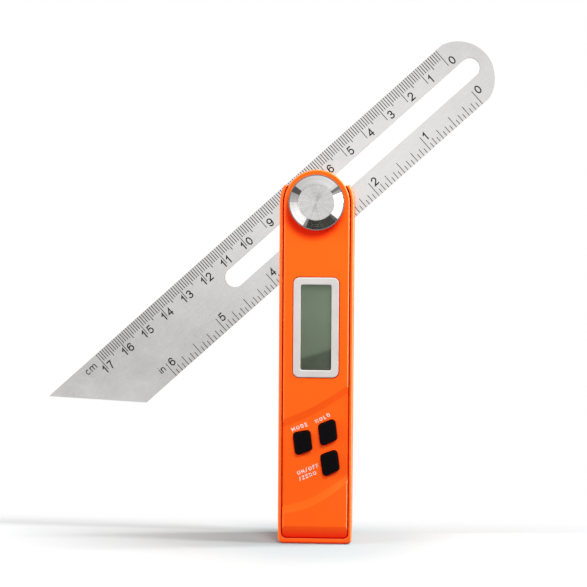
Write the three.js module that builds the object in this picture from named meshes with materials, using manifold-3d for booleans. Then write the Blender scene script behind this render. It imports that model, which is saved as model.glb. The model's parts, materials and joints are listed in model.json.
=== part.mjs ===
// A digital sliding T-bevel, standing upright on the flat foot of its handle.
// Millimetres, +Z up the handle, the display faces -Y and +X is to its right.
// The origin is the middle of the foot.

import * as THREE from 'three';
import { mergeVertices } from 'three/addons/utils/BufferGeometryUtils.js';
import Module from 'manifold-3d';

const wasm = await Module();
wasm.setup();

// Fits
const fit = 0.3; // air between pieces that touch on the real tool
const overrun = 2; // how far a cut runs past the face that it opens
const bite = 0.2; // how far joined bodies run into each other
const weld = 0.0001; // points nearer than this are one point

// Handle, seen from the front
const handleHalfWidth = 13.6;
const pivotHeight = 125.4;
const footCorner = 2;
const shoulderRise = 6.4; // top of the side walls above the pivot
const rimWall = 1.15; // side wall beside the panel
const rimFoot = 1.9; // wall under the panel
const rimEdge = 1;
const rimDrop = 0.4; // the rim lies this far behind the face of the panel
const sideWall = 2.7; // side wall beside the circuit board
const cavityFoot = 5;
const cavityCorner = 1.5;
const backEdge = 1.5;
const footBlockHeight = 12; // the block that closes the kerf at its lower end

// Front panel
const panelThickness = 1.8;
const panelCorner = 1.4;
const panelEdge = 0.7;
const panelGap = 0.5; // the groove around the panel
const skirtWall = 1.3;
const hubBossRadius = 4.6;
const toeHeight = 4.3; // the sloping lower end of the panel
const toeDrop = 1.25;

// Sunk key field of the panel, between two curved ramps that rise to the right
const fieldDepth = 0.8;
const rampHeight = 3;
const fieldHeadShare = 0.3626; // height of its left end, as a share of the height of the pivot
const fieldFootShare = 0.088;
const fieldHeadSlopeShare = 0.29;
const fieldFootSlopeShare = 0.02;
const fieldHeadBow = 7.1;
const fieldFootBow = 13.6;
const rampSteps = 10;

// Display
const displayShare = 0.6366; // height of its centre, as a share of the height of the pivot
const bezelHeightShare = 0.146; // its half height, as a share of the same
const bezelMargin = 3.65; // from the edge of the panel to the bezel
const bezelFrame = 2.7; // from the edge of the bezel to the window
const bezelCorner = 2.2;
const bezelThickness = 0.9;
const bezelSeat = 0.8; // depth of the pocket that holds the bezel
const bezelEdge = 0.35;
const windowCorner = 0.6;
const lensLap = 0.5; // the lens is larger than the window by this much on each side
const lcdSideInset = 0.3; // from the edge of the bezel to the edge of the cell
const lcdEndInset = 1;
const lcdThickness = 1.9;
const zebraWidth = 1.4;
const zebraHeight = 2.4;
const zebraInset = 0.4;
const zebraMargin = 1;

// Keys: where each lies in the field, and how its edges lean
const keyWidthShare = 0.507; // of the half width of the panel
const keyLength = 7.7;
const keyCorner = 1.1;
const keyRise = 0.8;
const keyTravel = 0.5;
const keyEdge = 0.35;
const keyFlange = 0.7;
const keyFlangeThickness = 0.8;
const keyStemRadius = 1.6;
const keys = [
  { name: 'key_mode', acrossShare: -0.387, heightShare: 0.3, leanAngle: 7, headAngle: 11.5, footAngle: 21 },
  { name: 'key_hold', acrossShare: 0.38, heightShare: 0.3297, leanAngle: 7, headAngle: 22.5, footAngle: 25 },
  { name: 'key_power', acrossShare: 0.457, heightShare: 0.24, leanAngle: 8.5, headAngle: 21, footAngle: 27 },
];
const domeRadius = 2.6;
const domeRise = 0.5;
const domeSheet = 0.15;
const padThickness = 0.7;
const padMargin = 0.7; // from the side wall of the tray to the pad
const padReach = 8.1; // above the upper key and below the lower one
const padCorner = 2;

// Circuit board
const boardThickness = 1;
const boardMargin = 1.1;
const boardFoot = 21;
const boardTongueHalfWidth = 5.6;
const boardTongueFoot = 7.6;
const boardNeckHalfWidth = 5.4;
const boardCorner = 0.8;
const discMargin = 0.6; // the round end of the board inside the skirt of the panel
const chipHalfWidth = 3.6;
const chipThickness = 1.4;
const chipDrop = 38;
const chipPinRow = 0.5;
const chipPinCount = 8;
const crystalRadius = 1;
const crystalHalfLength = 3.1;
const crystalHeightShare = 0.424;

// Angle encoder and blade carrier
const rotorThickness = 0.8;
const rotorMargin = 0.4;
const septumWeb = 1.6;
const flangeThickness = 1.3;
const flangeMargin = 1.8; // from the edge of the head to the flange
const hubRadius = 4.6;
const keyBlockHalfLength = 7;
const keyBlockInset = 0.3; // the key ends this far inside the back of the blade
const waveHeight = 0.5;
const waveSheet = 0.25;
const waveCount = 3;

// Blade, along its own length: plus is towards the round end
const bladeInset = 0.5; // from the side of the handle to the edge of a level blade
const bladeThickness = 1.5;
const bladeClearance = 0.5;
const tipReach = 124.3;
const endReach = 82.6;
const endFlatness = 0.6; // the round end is this much larger in radius than half the width
const bladeAngle = 42;
const tipAngle = 45;
const slotHalfWidth = 3.7;
const slotTipEnd = 45.5;
const endWall = 4; // between the slot and the round end

// Knob, its washer and the pivot bolt
const boltRadius = 2.5;
const boltHeadHalfFlats = 4;
const boltHeadSink = 0.4; // the bolt head ends this far inside the back of the handle
const boltWeb = 3; // wall between the washer recess and the recess of the bolt head
const knobInset = 3.4; // from the side of the handle to the rim of the knob
const knobFlank = 3.7; // from the rim to the edge of its face
const knobRimHeight = 3;
const knobHeight = 5.8;
const knobDish = 0.4;
const knobLip = 0.25;
const knurlCount = 90;
const knurlDepth = 0.22;
const knobBoreDepth = 4.6;
const thrustWasherRadius = 6.8;
const thrustWasherThickness = 0.8;
const rearWasherRadius = 9;
const rearWasherThickness = 0.9;
const rearWasherProud = 0.2;

// Battery, its contacts and its door
const cellMargin = 0.9; // from the side of the door to the cell
const cellThickness = 3.2;
const cellCapInset = 1.2;
const cellCapHeight = 0.6;
const cellHeight = 24.2;
const legFloor = 1.2; // wall between the kerf and the battery
const coreWall = 2; // outer wall and sides that the hollows of the rear leg leave
const coreRib = 1.6;
const coreRows = 4;
const coreCorner = 1;
const contactSheet = 0.3;
const contactWidth = 3;
const contactSide = 1.6; // from the middle plane to the near side of a contact
const contactHeight = 9.3;
const contactLeafTop = 27;
const doorThickness = 1.5;
const doorSideWall = 2.7;
const doorFoot = 9.4;
const doorHeight = 33;
const doorCorner = 2;
const doorScrewDrop = 3.4;
const doorGripCount = 4;
const doorGripPitch = 1.6;
const doorGripDepth = 0.4;
const doorGripHalfWidth = 4.5;
const doorGripHeight = 13;

// Screws
const smallShankRadius = 1;
const smallHeadRadius = 1.9;
const smallHeadDepth = 1.1;
const panelScrewLength = 9;
const panelScrewFootShare = 0.1319;
const panelScrewDrop = 19.4;
const panelBossRadius = 2;
const trayPostRadius = 2.4;
const trayPostHeight = 3.3;
const boardScrewLength = 3.8;
const boardScrewHeadHeight = 1.2;
const upperBoardScrewDrop = 25.9; // below the pivot
const lowerBoardScrewInset = 8; // from the side of the handle
const lowerBoardScrewHeight = 25.6;
const legShankRadius = 1.25;
const legHeadRadius = 2.2;
const legHeadHeight = 1.6;
const legHeadSink = 1.6;
const legScrewInset = 5.2;
const legScrewHeight = 4.8;
const legScrewTip = 1.2; // wall left in front of the tip of a leg screw
const doorScrewLength = 4;
const recessDepth = 0.6;
const recessReachShare = 0.62; // of the radius of the head
const recessWidthShare = 0.17;

// Numbers of facets
const fullCircle = 48;
const smallCircle = 20;
const cornerSteps = 5;
const edgeSteps = 3;

// Depths of the stack, from the face of the panel to the back of the handle
const electronicsRoom = fit + lcdThickness + fit + zebraHeight + fit;
const rearLegDepth = legFloor + fit + contactSheet + fit + cellThickness + fit + doorThickness;
const encoderDepth = fit + rotorThickness + fit + septumWeb + fit + flangeThickness + fit;
const frontDepth = panelThickness + electronicsRoom + boardThickness + encoderDepth;
const housingDepth = frontDepth + bladeThickness + bladeClearance + rearLegDepth;
const panelFace = -housingDepth / 2;
const rimFace = panelFace + rimDrop;
const panelBack = panelFace + panelThickness;
const lcdFront = panelBack + fit;
const lcdBack = lcdFront + lcdThickness;
const boardFront = panelBack + electronicsRoom;
const boardBack = boardFront + boardThickness;
const rotorFront = boardBack + fit;
const rotorBack = rotorFront + rotorThickness;
const septumFace = rotorBack + fit;
const flangeFront = septumFace + septumWeb + fit;
const flangeBack = flangeFront + flangeThickness;
const bladeFront = flangeBack + fit;
const bladeBack = bladeFront + bladeThickness;
const septumBack = bladeFront - bladeClearance;
const legFace = bladeBack + bladeClearance;
const backFace = housingDepth / 2;

// Widths and heights that follow
const headRadius = handleHalfWidth - rimWall - panelGap;
const cavityHalfWidth = handleHalfWidth - sideWall;
const bladeHalfWidth = handleHalfWidth - bladeInset;
const flangeRadius = headRadius - flangeMargin;
const knobRadius = handleHalfWidth - knobInset;
const knobFaceRadius = knobRadius - knobFlank;
const bezelHalfWidth = headRadius - bezelMargin;
const bezelHalfHeight = pivotHeight * bezelHeightShare;
const windowHalfWidth = bezelHalfWidth - bezelFrame;
const windowHalfHeight = bezelHalfHeight - bezelFrame;
const lcdHalfWidth = bezelHalfWidth - lcdSideInset;
const lcdHalfHeight = bezelHalfHeight - lcdEndInset;
const keyWidth = headRadius * keyWidthShare;
const padHalfWidth = cavityHalfWidth - padMargin;
const doorHalfWidth = handleHalfWidth - doorSideWall;
const cellRadius = doorHalfWidth - cellMargin;
const panelScrewAcross = cavityHalfWidth - panelBossRadius - fit;
const legScrewAcross = handleHalfWidth - legScrewInset;
const skirtRadius = headRadius - skirtWall;
const boardDiscRadius = skirtRadius - discMargin;
const rotorRadius = boardDiscRadius - rotorMargin;
const displayHeight = pivotHeight * displayShare;
const panelScrewFoot = pivotHeight * panelScrewFootShare;
const upperScrewHeight = pivotHeight - panelScrewDrop;
const boltHole = boltRadius + fit;
const cellFront = backFace - doorThickness - fit - cellThickness;
const contactFront = legFace + legFloor + fit;

// Outlines

function circlePoints(across, height, radius, from, to, steps) {
  const points = [];
  for (let step = 0; step <= steps; step += 1) {
    const angle = from + (to - from) * step / steps;
    points.push(new THREE.Vector2(across + radius * Math.cos(angle), height + radius * Math.sin(angle)));
  }
  return points;
}

function outline(...runs) {
  const points = [];
  for (const point of runs.flat()) {
    const last = points[points.length - 1];
    if (!last || last.distanceTo(point) > weld) {
      points.push(point);
    }
  }
  if (points[0].distanceTo(points[points.length - 1]) <= weld) {
    points.pop();
  }
  return new THREE.Shape(points);
}

function disc(radius, across = 0, height = 0, steps = fullCircle) {
  return outline(circlePoints(across, height, radius, 0, 2 * Math.PI, steps));
}

// A polygon, listed anticlockwise, whose corners are rounded by tangent arcs
function roundedPolygon(corners, radius, steps = cornerSteps) {
  const runs = corners.map((corner, index) => {
    const before = corners[(index + corners.length - 1) % corners.length].clone().sub(corner).normalize();
    const after = corners[(index + 1) % corners.length].clone().sub(corner).normalize();
    const halfAngle = Math.acos(before.dot(after)) / 2;
    const middle = before.clone().add(after).normalize();
    const centre = corner.clone().addScaledVector(middle, radius / Math.sin(halfAngle));
    const start = corner.clone().addScaledVector(before, radius / Math.tan(halfAngle)).sub(centre).angle();
    const sweep = Math.PI - 2 * halfAngle;
    return circlePoints(centre.x, centre.y, radius, start, start + sweep, steps);
  });
  return outline(...runs);
}

function roundedBox(across, height, halfWidth, halfHeight, radius, steps = cornerSteps) {
  const corners = [[-1, -1], [1, -1], [1, 1], [-1, 1]].map(([side, end]) => (
    new THREE.Vector2(across + side * halfWidth, height + end * halfHeight)
  ));
  return roundedPolygon(corners, radius, steps);
}

// The outline of the handle up to its shoulders, with or without its round head
function handleOutline(withHead) {
  const shoulder = Math.asin(shoulderRise / handleHalfWidth);
  const headStart = Math.asin(shoulderRise / headRadius);
  const footCentre = handleHalfWidth - footCorner;
  const sideSteps = Math.round(fullCircle * shoulder / (2 * Math.PI));
  return outline(
    circlePoints(footCentre, footCorner, footCorner, -Math.PI / 2, 0, cornerSteps),
    circlePoints(0, pivotHeight, handleHalfWidth, 0, shoulder, sideSteps),
    withHead ? circlePoints(0, pivotHeight, headRadius, headStart, Math.PI - headStart, fullCircle / 2) : [],
    circlePoints(0, pivotHeight, handleHalfWidth, Math.PI - shoulder, Math.PI, sideSteps),
    circlePoints(-footCentre, footCorner, footCorner, Math.PI, 1.5 * Math.PI, cornerSteps),
  );
}

function panelOutline(grow) {
  const halfWidth = headRadius + grow;
  const foot = rimFoot + panelGap - grow;
  const corner = panelCorner + grow;
  return outline(
    circlePoints(halfWidth - corner, foot + corner, corner, -Math.PI / 2, 0, cornerSteps),
    circlePoints(0, pivotHeight, halfWidth, 0, Math.PI, fullCircle / 2),
    circlePoints(corner - halfWidth, foot + corner, corner, Math.PI, 1.5 * Math.PI, cornerSteps),
  );
}

// The upper half of a disc about the pivot, from a given height above it
function halfDisc(radius, rise) {
  const start = Math.asin(rise / radius);
  return outline(circlePoints(0, pivotHeight, radius, start, Math.PI - start, fullCircle / 2));
}

function footOutline(height) {
  const footCentre = handleHalfWidth - footCorner;
  return outline(
    circlePoints(footCentre, footCorner, footCorner, -Math.PI / 2, 0, cornerSteps),
    [new THREE.Vector2(handleHalfWidth, height), new THREE.Vector2(-handleHalfWidth, height)],
    circlePoints(-footCentre, footCorner, footCorner, Math.PI, 1.5 * Math.PI, cornerSteps),
  );
}

function keyMiddle(key) {
  return new THREE.Vector2(key.acrossShare * headRadius, key.heightShare * pivotHeight);
}

// A key: two leaning sides, and a head and foot edge that slope differently
function keyOutline(key, grow) {
  const lean = THREE.MathUtils.degToRad(key.leanAngle);
  const up = new THREE.Vector2(-Math.sin(lean), Math.cos(lean));
  const middle = keyMiddle(key);
  const corner = (side, end, slope) => {
    const across = side * (keyWidth / 2 + grow);
    const rise = Math.tan(THREE.MathUtils.degToRad(slope));
    const along = end * (keyLength / 2 + grow) + across * rise / (up.y - rise * up.x);
    return middle.clone().add(new THREE.Vector2(across, 0)).addScaledVector(up, along);
  };
  const corners = [
    corner(-1, -1, key.footAngle),
    corner(1, -1, key.footAngle),
    corner(1, 1, key.headAngle),
    corner(-1, 1, key.headAngle),
  ];
  return roundedPolygon(corners, keyCorner + grow);
}

// Solids

function solidOf(geometry) {
  geometry.deleteAttribute('normal');
  geometry.deleteAttribute('uv');
  const merged = mergeVertices(geometry, weld);
  const corners = merged.index.array;
  const triangles = [];
  for (let first = 0; first < corners.length; first += 3) {
    const [a, b, c] = corners.slice(first, first + 3);
    if (a !== b && b !== c && c !== a) {
      triangles.push(a, b, c);
    }
  }
  return new wasm.Manifold(new wasm.Mesh({
    numProp: 3,
    vertProperties: merged.attributes.position.array,
    triVerts: new Uint32Array(triangles),
  }));
}

function block(left, right, front, back, foot, head) {
  const geometry = new THREE.BoxGeometry(right - left, back - front, head - foot);
  geometry.translate((left + right) / 2, (front + back) / 2, (foot + head) / 2);
  return solidOf(geometry);
}

// A plate of a given outline between two depths, with a round edge in front, at the back or on both
function slab(shape, front, back, frontEdge = 0, backRound = 0) {
  const edge = Math.max(frontEdge, backRound);
  const start = frontEdge > 0 ? front + edge : front;
  const end = backRound > 0 ? back - edge : back;
  const geometry = new THREE.ExtrudeGeometry(shape, {
    depth: end - start,
    bevelEnabled: edge > 0,
    bevelThickness: edge,
    bevelSize: edge,
    bevelOffset: -edge,
    bevelSegments: edgeSteps,
  });
  geometry.rotateX(Math.PI / 2);
  geometry.translate(0, end, 0);
  const plate = solidOf(geometry);
  if (edge === 0 || (frontEdge > 0 && backRound > 0)) {
    return plate;
  }
  const reach = pivotHeight + handleHalfWidth + tipReach;
  const waste = frontEdge > 0
    ? block(-reach, reach, back, back + edge + overrun, -reach, reach)
    : block(-reach, reach, front - edge - overrun, front, -reach, reach);
  return plate.subtract(waste);
}

function rod(radius, front, back, across = 0, height = 0, steps = smallCircle) {
  return slab(disc(radius, across, height, steps), front, back);
}

// A turned piece about the Y axis, from a profile of [radius, depth] pairs that ends on the axis
function turned(profile, steps = fullCircle) {
  const points = profile.map(([radius, depth]) => new THREE.Vector2(radius, depth));
  return solidOf(new THREE.LatheGeometry(points, steps));
}

// A solid through two rings of as many points, capped at both ends
function loft(firstRing, lastRing) {
  const flat = firstRing.map((point) => new THREE.Vector2(point.x, point.z));
  const caps = THREE.ShapeUtils.triangulateShape(flat, []);
  const count = firstRing.length;
  const index = [];
  for (const [a, b, c] of caps) {
    index.push(a, b, c, count + c, count + b, count + a);
  }
  for (let point = 0; point < count; point += 1) {
    const next = (point + 1) % count;
    index.push(next, point, count + point, next, count + point, count + next);
  }
  const geometry = new THREE.BufferGeometry().setFromPoints([...firstRing, ...lastRing]);
  geometry.setIndex(index);
  return solidOf(geometry);
}

// An extrusion whose outline was drawn as (depth, height), laid across the handle from its left end
function sideways(geometry, left) {
  const depthAxis = new THREE.Vector3(0, 1, 0);
  const heightAxis = new THREE.Vector3(0, 0, 1);
  const acrossAxis = new THREE.Vector3(1, 0, 0);
  geometry.applyMatrix4(new THREE.Matrix4().makeBasis(depthAxis, heightAxis, acrossAxis));
  geometry.translate(left, 0, 0);
  return solidOf(geometry);
}

// A bent strip of sheet: its middle line runs through [depth, height] places, square bend after bend
function bentStrip(places, sheet, left, right) {
  const middle = places.map(([depth, height]) => new THREE.Vector2(depth, height));
  const side = (turn) => middle.map((point, index) => {
    const before = point.clone().sub(middle[Math.max(index - 1, 0)]).normalize();
    const after = middle[Math.min(index + 1, middle.length - 1)].clone().sub(point).normalize();
    const normalBefore = new THREE.Vector2(-before.y, before.x);
    const normalAfter = new THREE.Vector2(-after.y, after.x);
    const offset = before.lengthSq() === 0 || Math.abs(before.dot(after)) === 1 ? normalAfter
      : after.lengthSq() === 0 ? normalBefore : normalBefore.add(normalAfter);
    return point.clone().addScaledVector(offset, turn * sheet / 2);
  });
  const geometry = new THREE.ExtrudeGeometry(outline(side(-1), side(1).reverse()), {
    depth: right - left,
    bevelEnabled: false,
  });
  return sideways(geometry, left);
}

function joined(...bodies) {
  return bodies.reduce((sum, body) => sum.add(body));
}

function cutBy(body, ...cuts) {
  return cuts.reduce((rest, cut) => rest.subtract(cut), body);
}

// Finishes

function finish(color, roughness, metalness) {
  return new THREE.MeshStandardMaterial({ color, roughness, metalness });
}

const orangeShell = () => finish(0xff6a1c, 0.42, 0);
const brushedSteel = () => finish(0xc4c2be, 0.34, 1);
const turnedSteel = () => finish(0xd8d8d8, 0.18, 1);
const zincSteel = () => finish(0xb9bcc0, 0.35, 1);
const blackRubber = () => finish(0x141414, 0.7, 0);

const model = new THREE.Group();
const pivot = new THREE.Group();
pivot.position.z = pivotHeight;
const swung = new THREE.Group();
swung.rotation.y = -THREE.MathUtils.degToRad(bladeAngle);
pivot.add(swung);
model.add(pivot);

function place(parent, name, body, material) {
  const { numProp, vertProperties, triVerts } = body.getMesh();
  const geometry = new THREE.BufferGeometry();
  geometry.setAttribute('position', new THREE.BufferAttribute(vertProperties, numProp));
  geometry.setIndex(new THREE.BufferAttribute(triVerts, 1));
  geometry.computeVertexNormals();
  const mesh = new THREE.Mesh(geometry, material);
  mesh.name = name;
  parent.add(mesh);
}

// Screw places shared by the pieces that they join

const panelScrewPlaces = [
  { across: -panelScrewAcross, height: panelScrewFoot },
  { across: panelScrewAcross, height: panelScrewFoot },
  { across: -panelScrewAcross, height: upperScrewHeight },
  { across: panelScrewAcross, height: upperScrewHeight },
];
const boardScrewPlaces = [
  { across: 0, height: pivotHeight - upperBoardScrewDrop },
  { across: lowerBoardScrewInset - handleHalfWidth, height: lowerBoardScrewHeight },
];
const legScrewPlaces = [
  { across: -legScrewAcross, height: legScrewHeight },
  { across: legScrewAcross, height: legScrewHeight },
];
const smallHole = smallShankRadius + fit;
const legHole = legShankRadius + fit;
const panelScrewTip = septumBack - panelScrewLength;
const trayPostFront = septumFace - trayPostHeight;
const panelBossBack = trayPostFront - fit;
const legScrewFront = septumFace + legScrewTip;
const legHeadBack = backFace - legHeadSink;
const legHeadFront = legHeadBack - legHeadHeight;

// The cross that a driver turns
function crossRecess({ across, height }, radius, front, back) {
  const reach = radius * recessReachShare;
  const half = radius * recessWidthShare;
  return joined(
    block(across - reach, across + reach, front, back, height - half, height + half),
    block(across - half, across + half, front, back, height - reach, height + reach),
  );
}

// A countersunk screw, or with growth its hole; the head is at the back
function countersunk(place, shankRadius, headRadiusAtBack, headDepth, tip, back, grow) {
  const opening = [[headRadiusAtBack + grow, back + overrun], [0, back + overrun]];
  const profile = [
    [0, tip - grow],
    [shankRadius + grow, tip - grow],
    [shankRadius + grow, back - headDepth],
    [headRadiusAtBack + grow, back],
    ...(grow > 0 ? opening : [[0, back]]),
  ];
  return turned(profile, smallCircle).translate(place.across, 0, place.height);
}

// Handle body: an open tray with a round head, whose foot block closes the kerf

function handleBody() {
  const walls = slab(handleOutline(false), rimFace, septumBack, rimEdge);
  const head = slab(disc(headRadius, 0, pivotHeight), septumFace, septumBack);
  const foot = slab(footOutline(footBlockHeight), septumFace, legFace - fit);
  const cavityTop = pivotHeight;
  const cavityMiddle = (cavityFoot + cavityTop) / 2;
  const cavityHalf = (cavityTop - cavityFoot) / 2;
  const cavityShape = roundedBox(0, cavityMiddle, cavityHalfWidth, cavityHalf, cavityCorner);
  const front = rimFace - overrun;
  const hollow = joined(
    slab(panelOutline(panelGap), front, panelBack + fit),
    slab(cavityShape, front, septumFace),
    slab(halfDisc(headRadius + panelGap, -cavityCorner), front, septumFace),
  );
  const panelPosts = panelScrewPlaces.map(({ across, height }) => (
    rod(trayPostRadius, trayPostFront, septumFace + bite, across, height)
  ));
  const boardPosts = boardScrewPlaces.map(({ across, height }) => (
    rod(trayPostRadius, boardBack + fit, septumFace + bite, across, height)
  ));
  const panelScrewHoles = panelScrewPlaces.map((screw) => (
    countersunk(screw, smallShankRadius, smallHeadRadius, smallHeadDepth, panelScrewTip, septumBack, fit)
  ));
  const boardScrewHoles = boardScrewPlaces.map(({ across, height }) => (
    rod(smallHole, boardBack, boardFront - fit + boardScrewLength + fit, across, height)
  ));
  const legScrewHoles = legScrewPlaces.map(({ across, height }) => (
    rod(legHole, legScrewFront - fit, legFace, across, height)
  ));
  return cutBy(
    joined(cutBy(joined(walls, head, foot), hollow), ...panelPosts, ...boardPosts),
    rod(hubRadius + fit, septumFace - overrun, septumBack + overrun, 0, pivotHeight, fullCircle),
    rod(flangeRadius + fit, flangeFront - fit, septumBack + overrun, 0, pivotHeight, fullCircle),
    contactChannel(),
    ...panelScrewHoles,
    ...boardScrewHoles,
    ...legScrewHoles,
  );
}

// The passage that both battery contacts take from the back to the board
function contactChannel() {
  const half = contactSide + contactWidth + fit;
  const foot = contactHeight - contactSheet / 2 - fit;
  const head = contactHeight + contactSheet / 2 + fit;
  return block(-half, half, septumFace - overrun, contactFront + overrun, foot, head);
}

// Front panel: the display pocket, the sunk key field, the skirt of the head and the hub boss

function rampLine(leftHeight, slopeShare, bow, depth) {
  const halfWidth = headRadius + overrun;
  const points = [];
  for (let step = 0; step <= rampSteps; step += 1) {
    const share = step / rampSteps;
    const across = halfWidth * (2 * share - 1);
    const height = leftHeight + slopeShare * (across + halfWidth) + bow * share * share;
    points.push(new THREE.Vector3(across, depth, height));
  }
  return points;
}

function keyField() {
  const floor = panelFace + fieldDepth;
  const above = panelFace - overrun;
  const spread = overrun / fieldDepth;
  const head = pivotHeight * fieldHeadShare;
  const foot = pivotHeight * fieldFootShare;
  const ring = (depth, narrowing) => [
    ...rampLine(foot + narrowing, fieldFootSlopeShare, fieldFootBow, depth),
    ...rampLine(head - narrowing, fieldHeadSlopeShare, fieldHeadBow, depth).reverse(),
  ];
  const floorRing = ring(floor, rampHeight);
  const openRing = ring(above, -rampHeight * spread);
  return loft(openRing, floorRing);
}

function toeCut() {
  const half = handleHalfWidth + overrun;
  const foot = rimFoot + panelGap;
  const slope = toeDrop / toeHeight;
  const ring = (across) => [
    new THREE.Vector3(across, panelFace - overrun, foot + toeHeight + overrun / slope),
    new THREE.Vector3(across, panelFace - overrun, foot - overrun),
    new THREE.Vector3(across, panelFace + toeDrop + slope * overrun, foot - overrun),
  ];
  const wedge = new THREE.Shape(ring(0).map((point) => new THREE.Vector2(point.y, point.z)));
  const geometry = new THREE.ExtrudeGeometry(wedge, { depth: 2 * half, bevelEnabled: false });
  return sideways(geometry, -half);
}

function frontPanel() {
  const plate = slab(panelOutline(0), panelFace, panelBack, panelEdge);
  const skirt = slab(halfDisc(headRadius, fit), panelBack - bite, septumFace - fit);
  const skirtHollow = slab(halfDisc(skirtRadius, -skirtWall), panelBack, septumFace);
  const bossBack = boardBack - fit - waveHeight - fit;
  const hubBoss = rod(hubBossRadius, panelBack - bite, bossBack, 0, pivotHeight);
  const screwBosses = panelScrewPlaces.map(({ across, height }) => (
    rod(panelBossRadius, panelBack - bite, panelBossBack, across, height)
  ));
  const screwHoles = panelScrewPlaces.map(({ across, height }) => (
    rod(smallHole, panelScrewTip - fit, panelBossBack + overrun, across, height)
  ));
  const bezelHalf = [bezelHalfWidth + fit, bezelHalfHeight + fit];
  const bezelPocket = roundedBox(0, displayHeight, ...bezelHalf, bezelCorner + fit);
  const lensHalf = [windowHalfWidth + lensLap + fit, windowHalfHeight + lensLap + fit];
  const lensOpening = roundedBox(0, displayHeight, ...lensHalf, windowCorner + fit);
  const keyHoles = keys.map((key) => slab(keyOutline(key, fit), panelFace - overrun, panelBack + overrun));
  return cutBy(
    joined(plate, cutBy(skirt, skirtHollow), hubBoss, ...screwBosses),
    slab(bezelPocket, panelFace - overrun, panelFace + bezelSeat),
    slab(lensOpening, panelFace - overrun, panelBack + overrun),
    rod(boltHole, panelFace - overrun, bossBack + overrun, 0, pivotHeight),
    keyField(),
    toeCut(),
    ...keyHoles,
    ...screwHoles,
  );
}

// Display

function displayBezel() {
  const back = panelFace + bezelSeat - fit;
  const shape = roundedBox(0, displayHeight, bezelHalfWidth, bezelHalfHeight, bezelCorner);
  const window = roundedBox(0, displayHeight, windowHalfWidth, windowHalfHeight, windowCorner);
  shape.holes.push(new THREE.Path(window.getPoints()));
  return slab(shape, back - bezelThickness, back, bezelEdge);
}

function displayLens() {
  const halfWidth = windowHalfWidth + lensLap;
  const halfHeight = windowHalfHeight + lensLap;
  const shape = roundedBox(0, displayHeight, halfWidth, halfHeight, windowCorner);
  return slab(shape, panelFace + bezelSeat, panelBack);
}

function lcdCell() {
  const foot = displayHeight - lcdHalfHeight;
  const head = displayHeight + lcdHalfHeight;
  return block(-lcdHalfWidth, lcdHalfWidth, lcdFront, lcdBack, foot, head);
}

function zebraStrip(side) {
  const middle = side * (lcdHalfWidth - zebraInset - zebraWidth / 2);
  const left = middle - zebraWidth / 2;
  const right = middle + zebraWidth / 2;
  const half = lcdHalfHeight - zebraMargin;
  return block(left, right, lcdBack + fit, boardFront - fit, displayHeight - half, displayHeight + half);
}

// Circuit board: a wide middle, a tongue to the contacts, a neck and a round end about the pivot

function circuitBoard() {
  const halfWidth = cavityHalfWidth - boardMargin;
  const shoulderHeight = upperScrewHeight - trayPostRadius - boardMargin;
  const neckTop = pivotHeight - hubRadius;
  const middle = (low, high) => [(low + high) / 2, (high - low) / 2];
  const [mainMiddle, mainHalf] = middle(boardFoot, shoulderHeight);
  const [tongueMiddle, tongueHalf] = middle(boardTongueFoot, shoulderHeight);
  const [neckMiddle, neckHalf] = middle(boardFoot, neckTop);
  const sheet = (shape) => slab(shape, boardFront, boardBack);
  const holes = boardScrewPlaces.map(({ across, height }) => (
    rod(smallHole, boardFront - overrun, boardBack + overrun, across, height)
  ));
  return cutBy(
    joined(
      sheet(roundedBox(0, mainMiddle, halfWidth, mainHalf, boardCorner)),
      sheet(roundedBox(0, tongueMiddle, boardTongueHalfWidth, tongueHalf, boardCorner)),
      sheet(roundedBox(0, neckMiddle, boardNeckHalfWidth, neckHalf, boardCorner)),
      sheet(disc(boardDiscRadius, 0, pivotHeight)),
    ),
    rod(hubBossRadius + fit, boardFront - overrun, boardBack + overrun, 0, pivotHeight),
    ...holes,
  );
}

function controllerChip() {
  const back = boardFront - fit;
  const front = back - chipThickness;
  const height = pivotHeight - chipDrop;
  const foot = height - chipHalfWidth;
  const body = block(-chipHalfWidth, chipHalfWidth, front, back, foot, height + chipHalfWidth);
  const pitch = 2 * chipHalfWidth / (chipPinCount + 1);
  const pins = [];
  for (let pin = 1; pin <= chipPinCount; pin += 1) {
    const middle = foot + pin * pitch;
    const reach = chipHalfWidth + chipPinRow;
    pins.push(block(-reach, reach, back - contactSheet, back, middle - pitch / 4, middle + pitch / 4));
  }
  return joined(body, ...pins);
}

function timingCrystal() {
  const geometry = new THREE.CylinderGeometry(crystalRadius, crystalRadius, 2 * crystalHalfLength, smallCircle);
  geometry.rotateZ(Math.PI / 2);
  geometry.translate(0, boardFront - fit - crystalRadius, pivotHeight * crystalHeightShare);
  return solidOf(geometry);
}

// Keys, their rubber pad and the domes that they press

const domeTop = boardFront - fit - domeRise;

function rubberKey(key) {
  const flangeAt = panelBack + fit;
  const flangeEnd = flangeAt + keyFlangeThickness;
  const stemEnd = domeTop - fit - keyTravel;
  const middle = keyMiddle(key);
  return joined(
    slab(keyOutline(key, 0), panelFace - keyRise, flangeAt + bite, keyEdge),
    slab(keyOutline(key, keyFlange), flangeAt, flangeEnd),
    rod(keyStemRadius, flangeEnd - bite, stemEnd, middle.x, middle.y),
  );
}

function keypadMembrane() {
  const front = panelBack + fit;
  const heights = keys.map((key) => keyMiddle(key).y);
  const foot = Math.min(...heights) - padReach;
  const head = Math.max(...heights) + padReach;
  const shape = roundedBox(0, (foot + head) / 2, padHalfWidth, (head - foot) / 2, padCorner);
  const openings = keys.map((key) => slab(keyOutline(key, keyFlange + fit), front - overrun, front + overrun));
  return cutBy(slab(shape, front, front + padThickness), ...openings);
}

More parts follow.
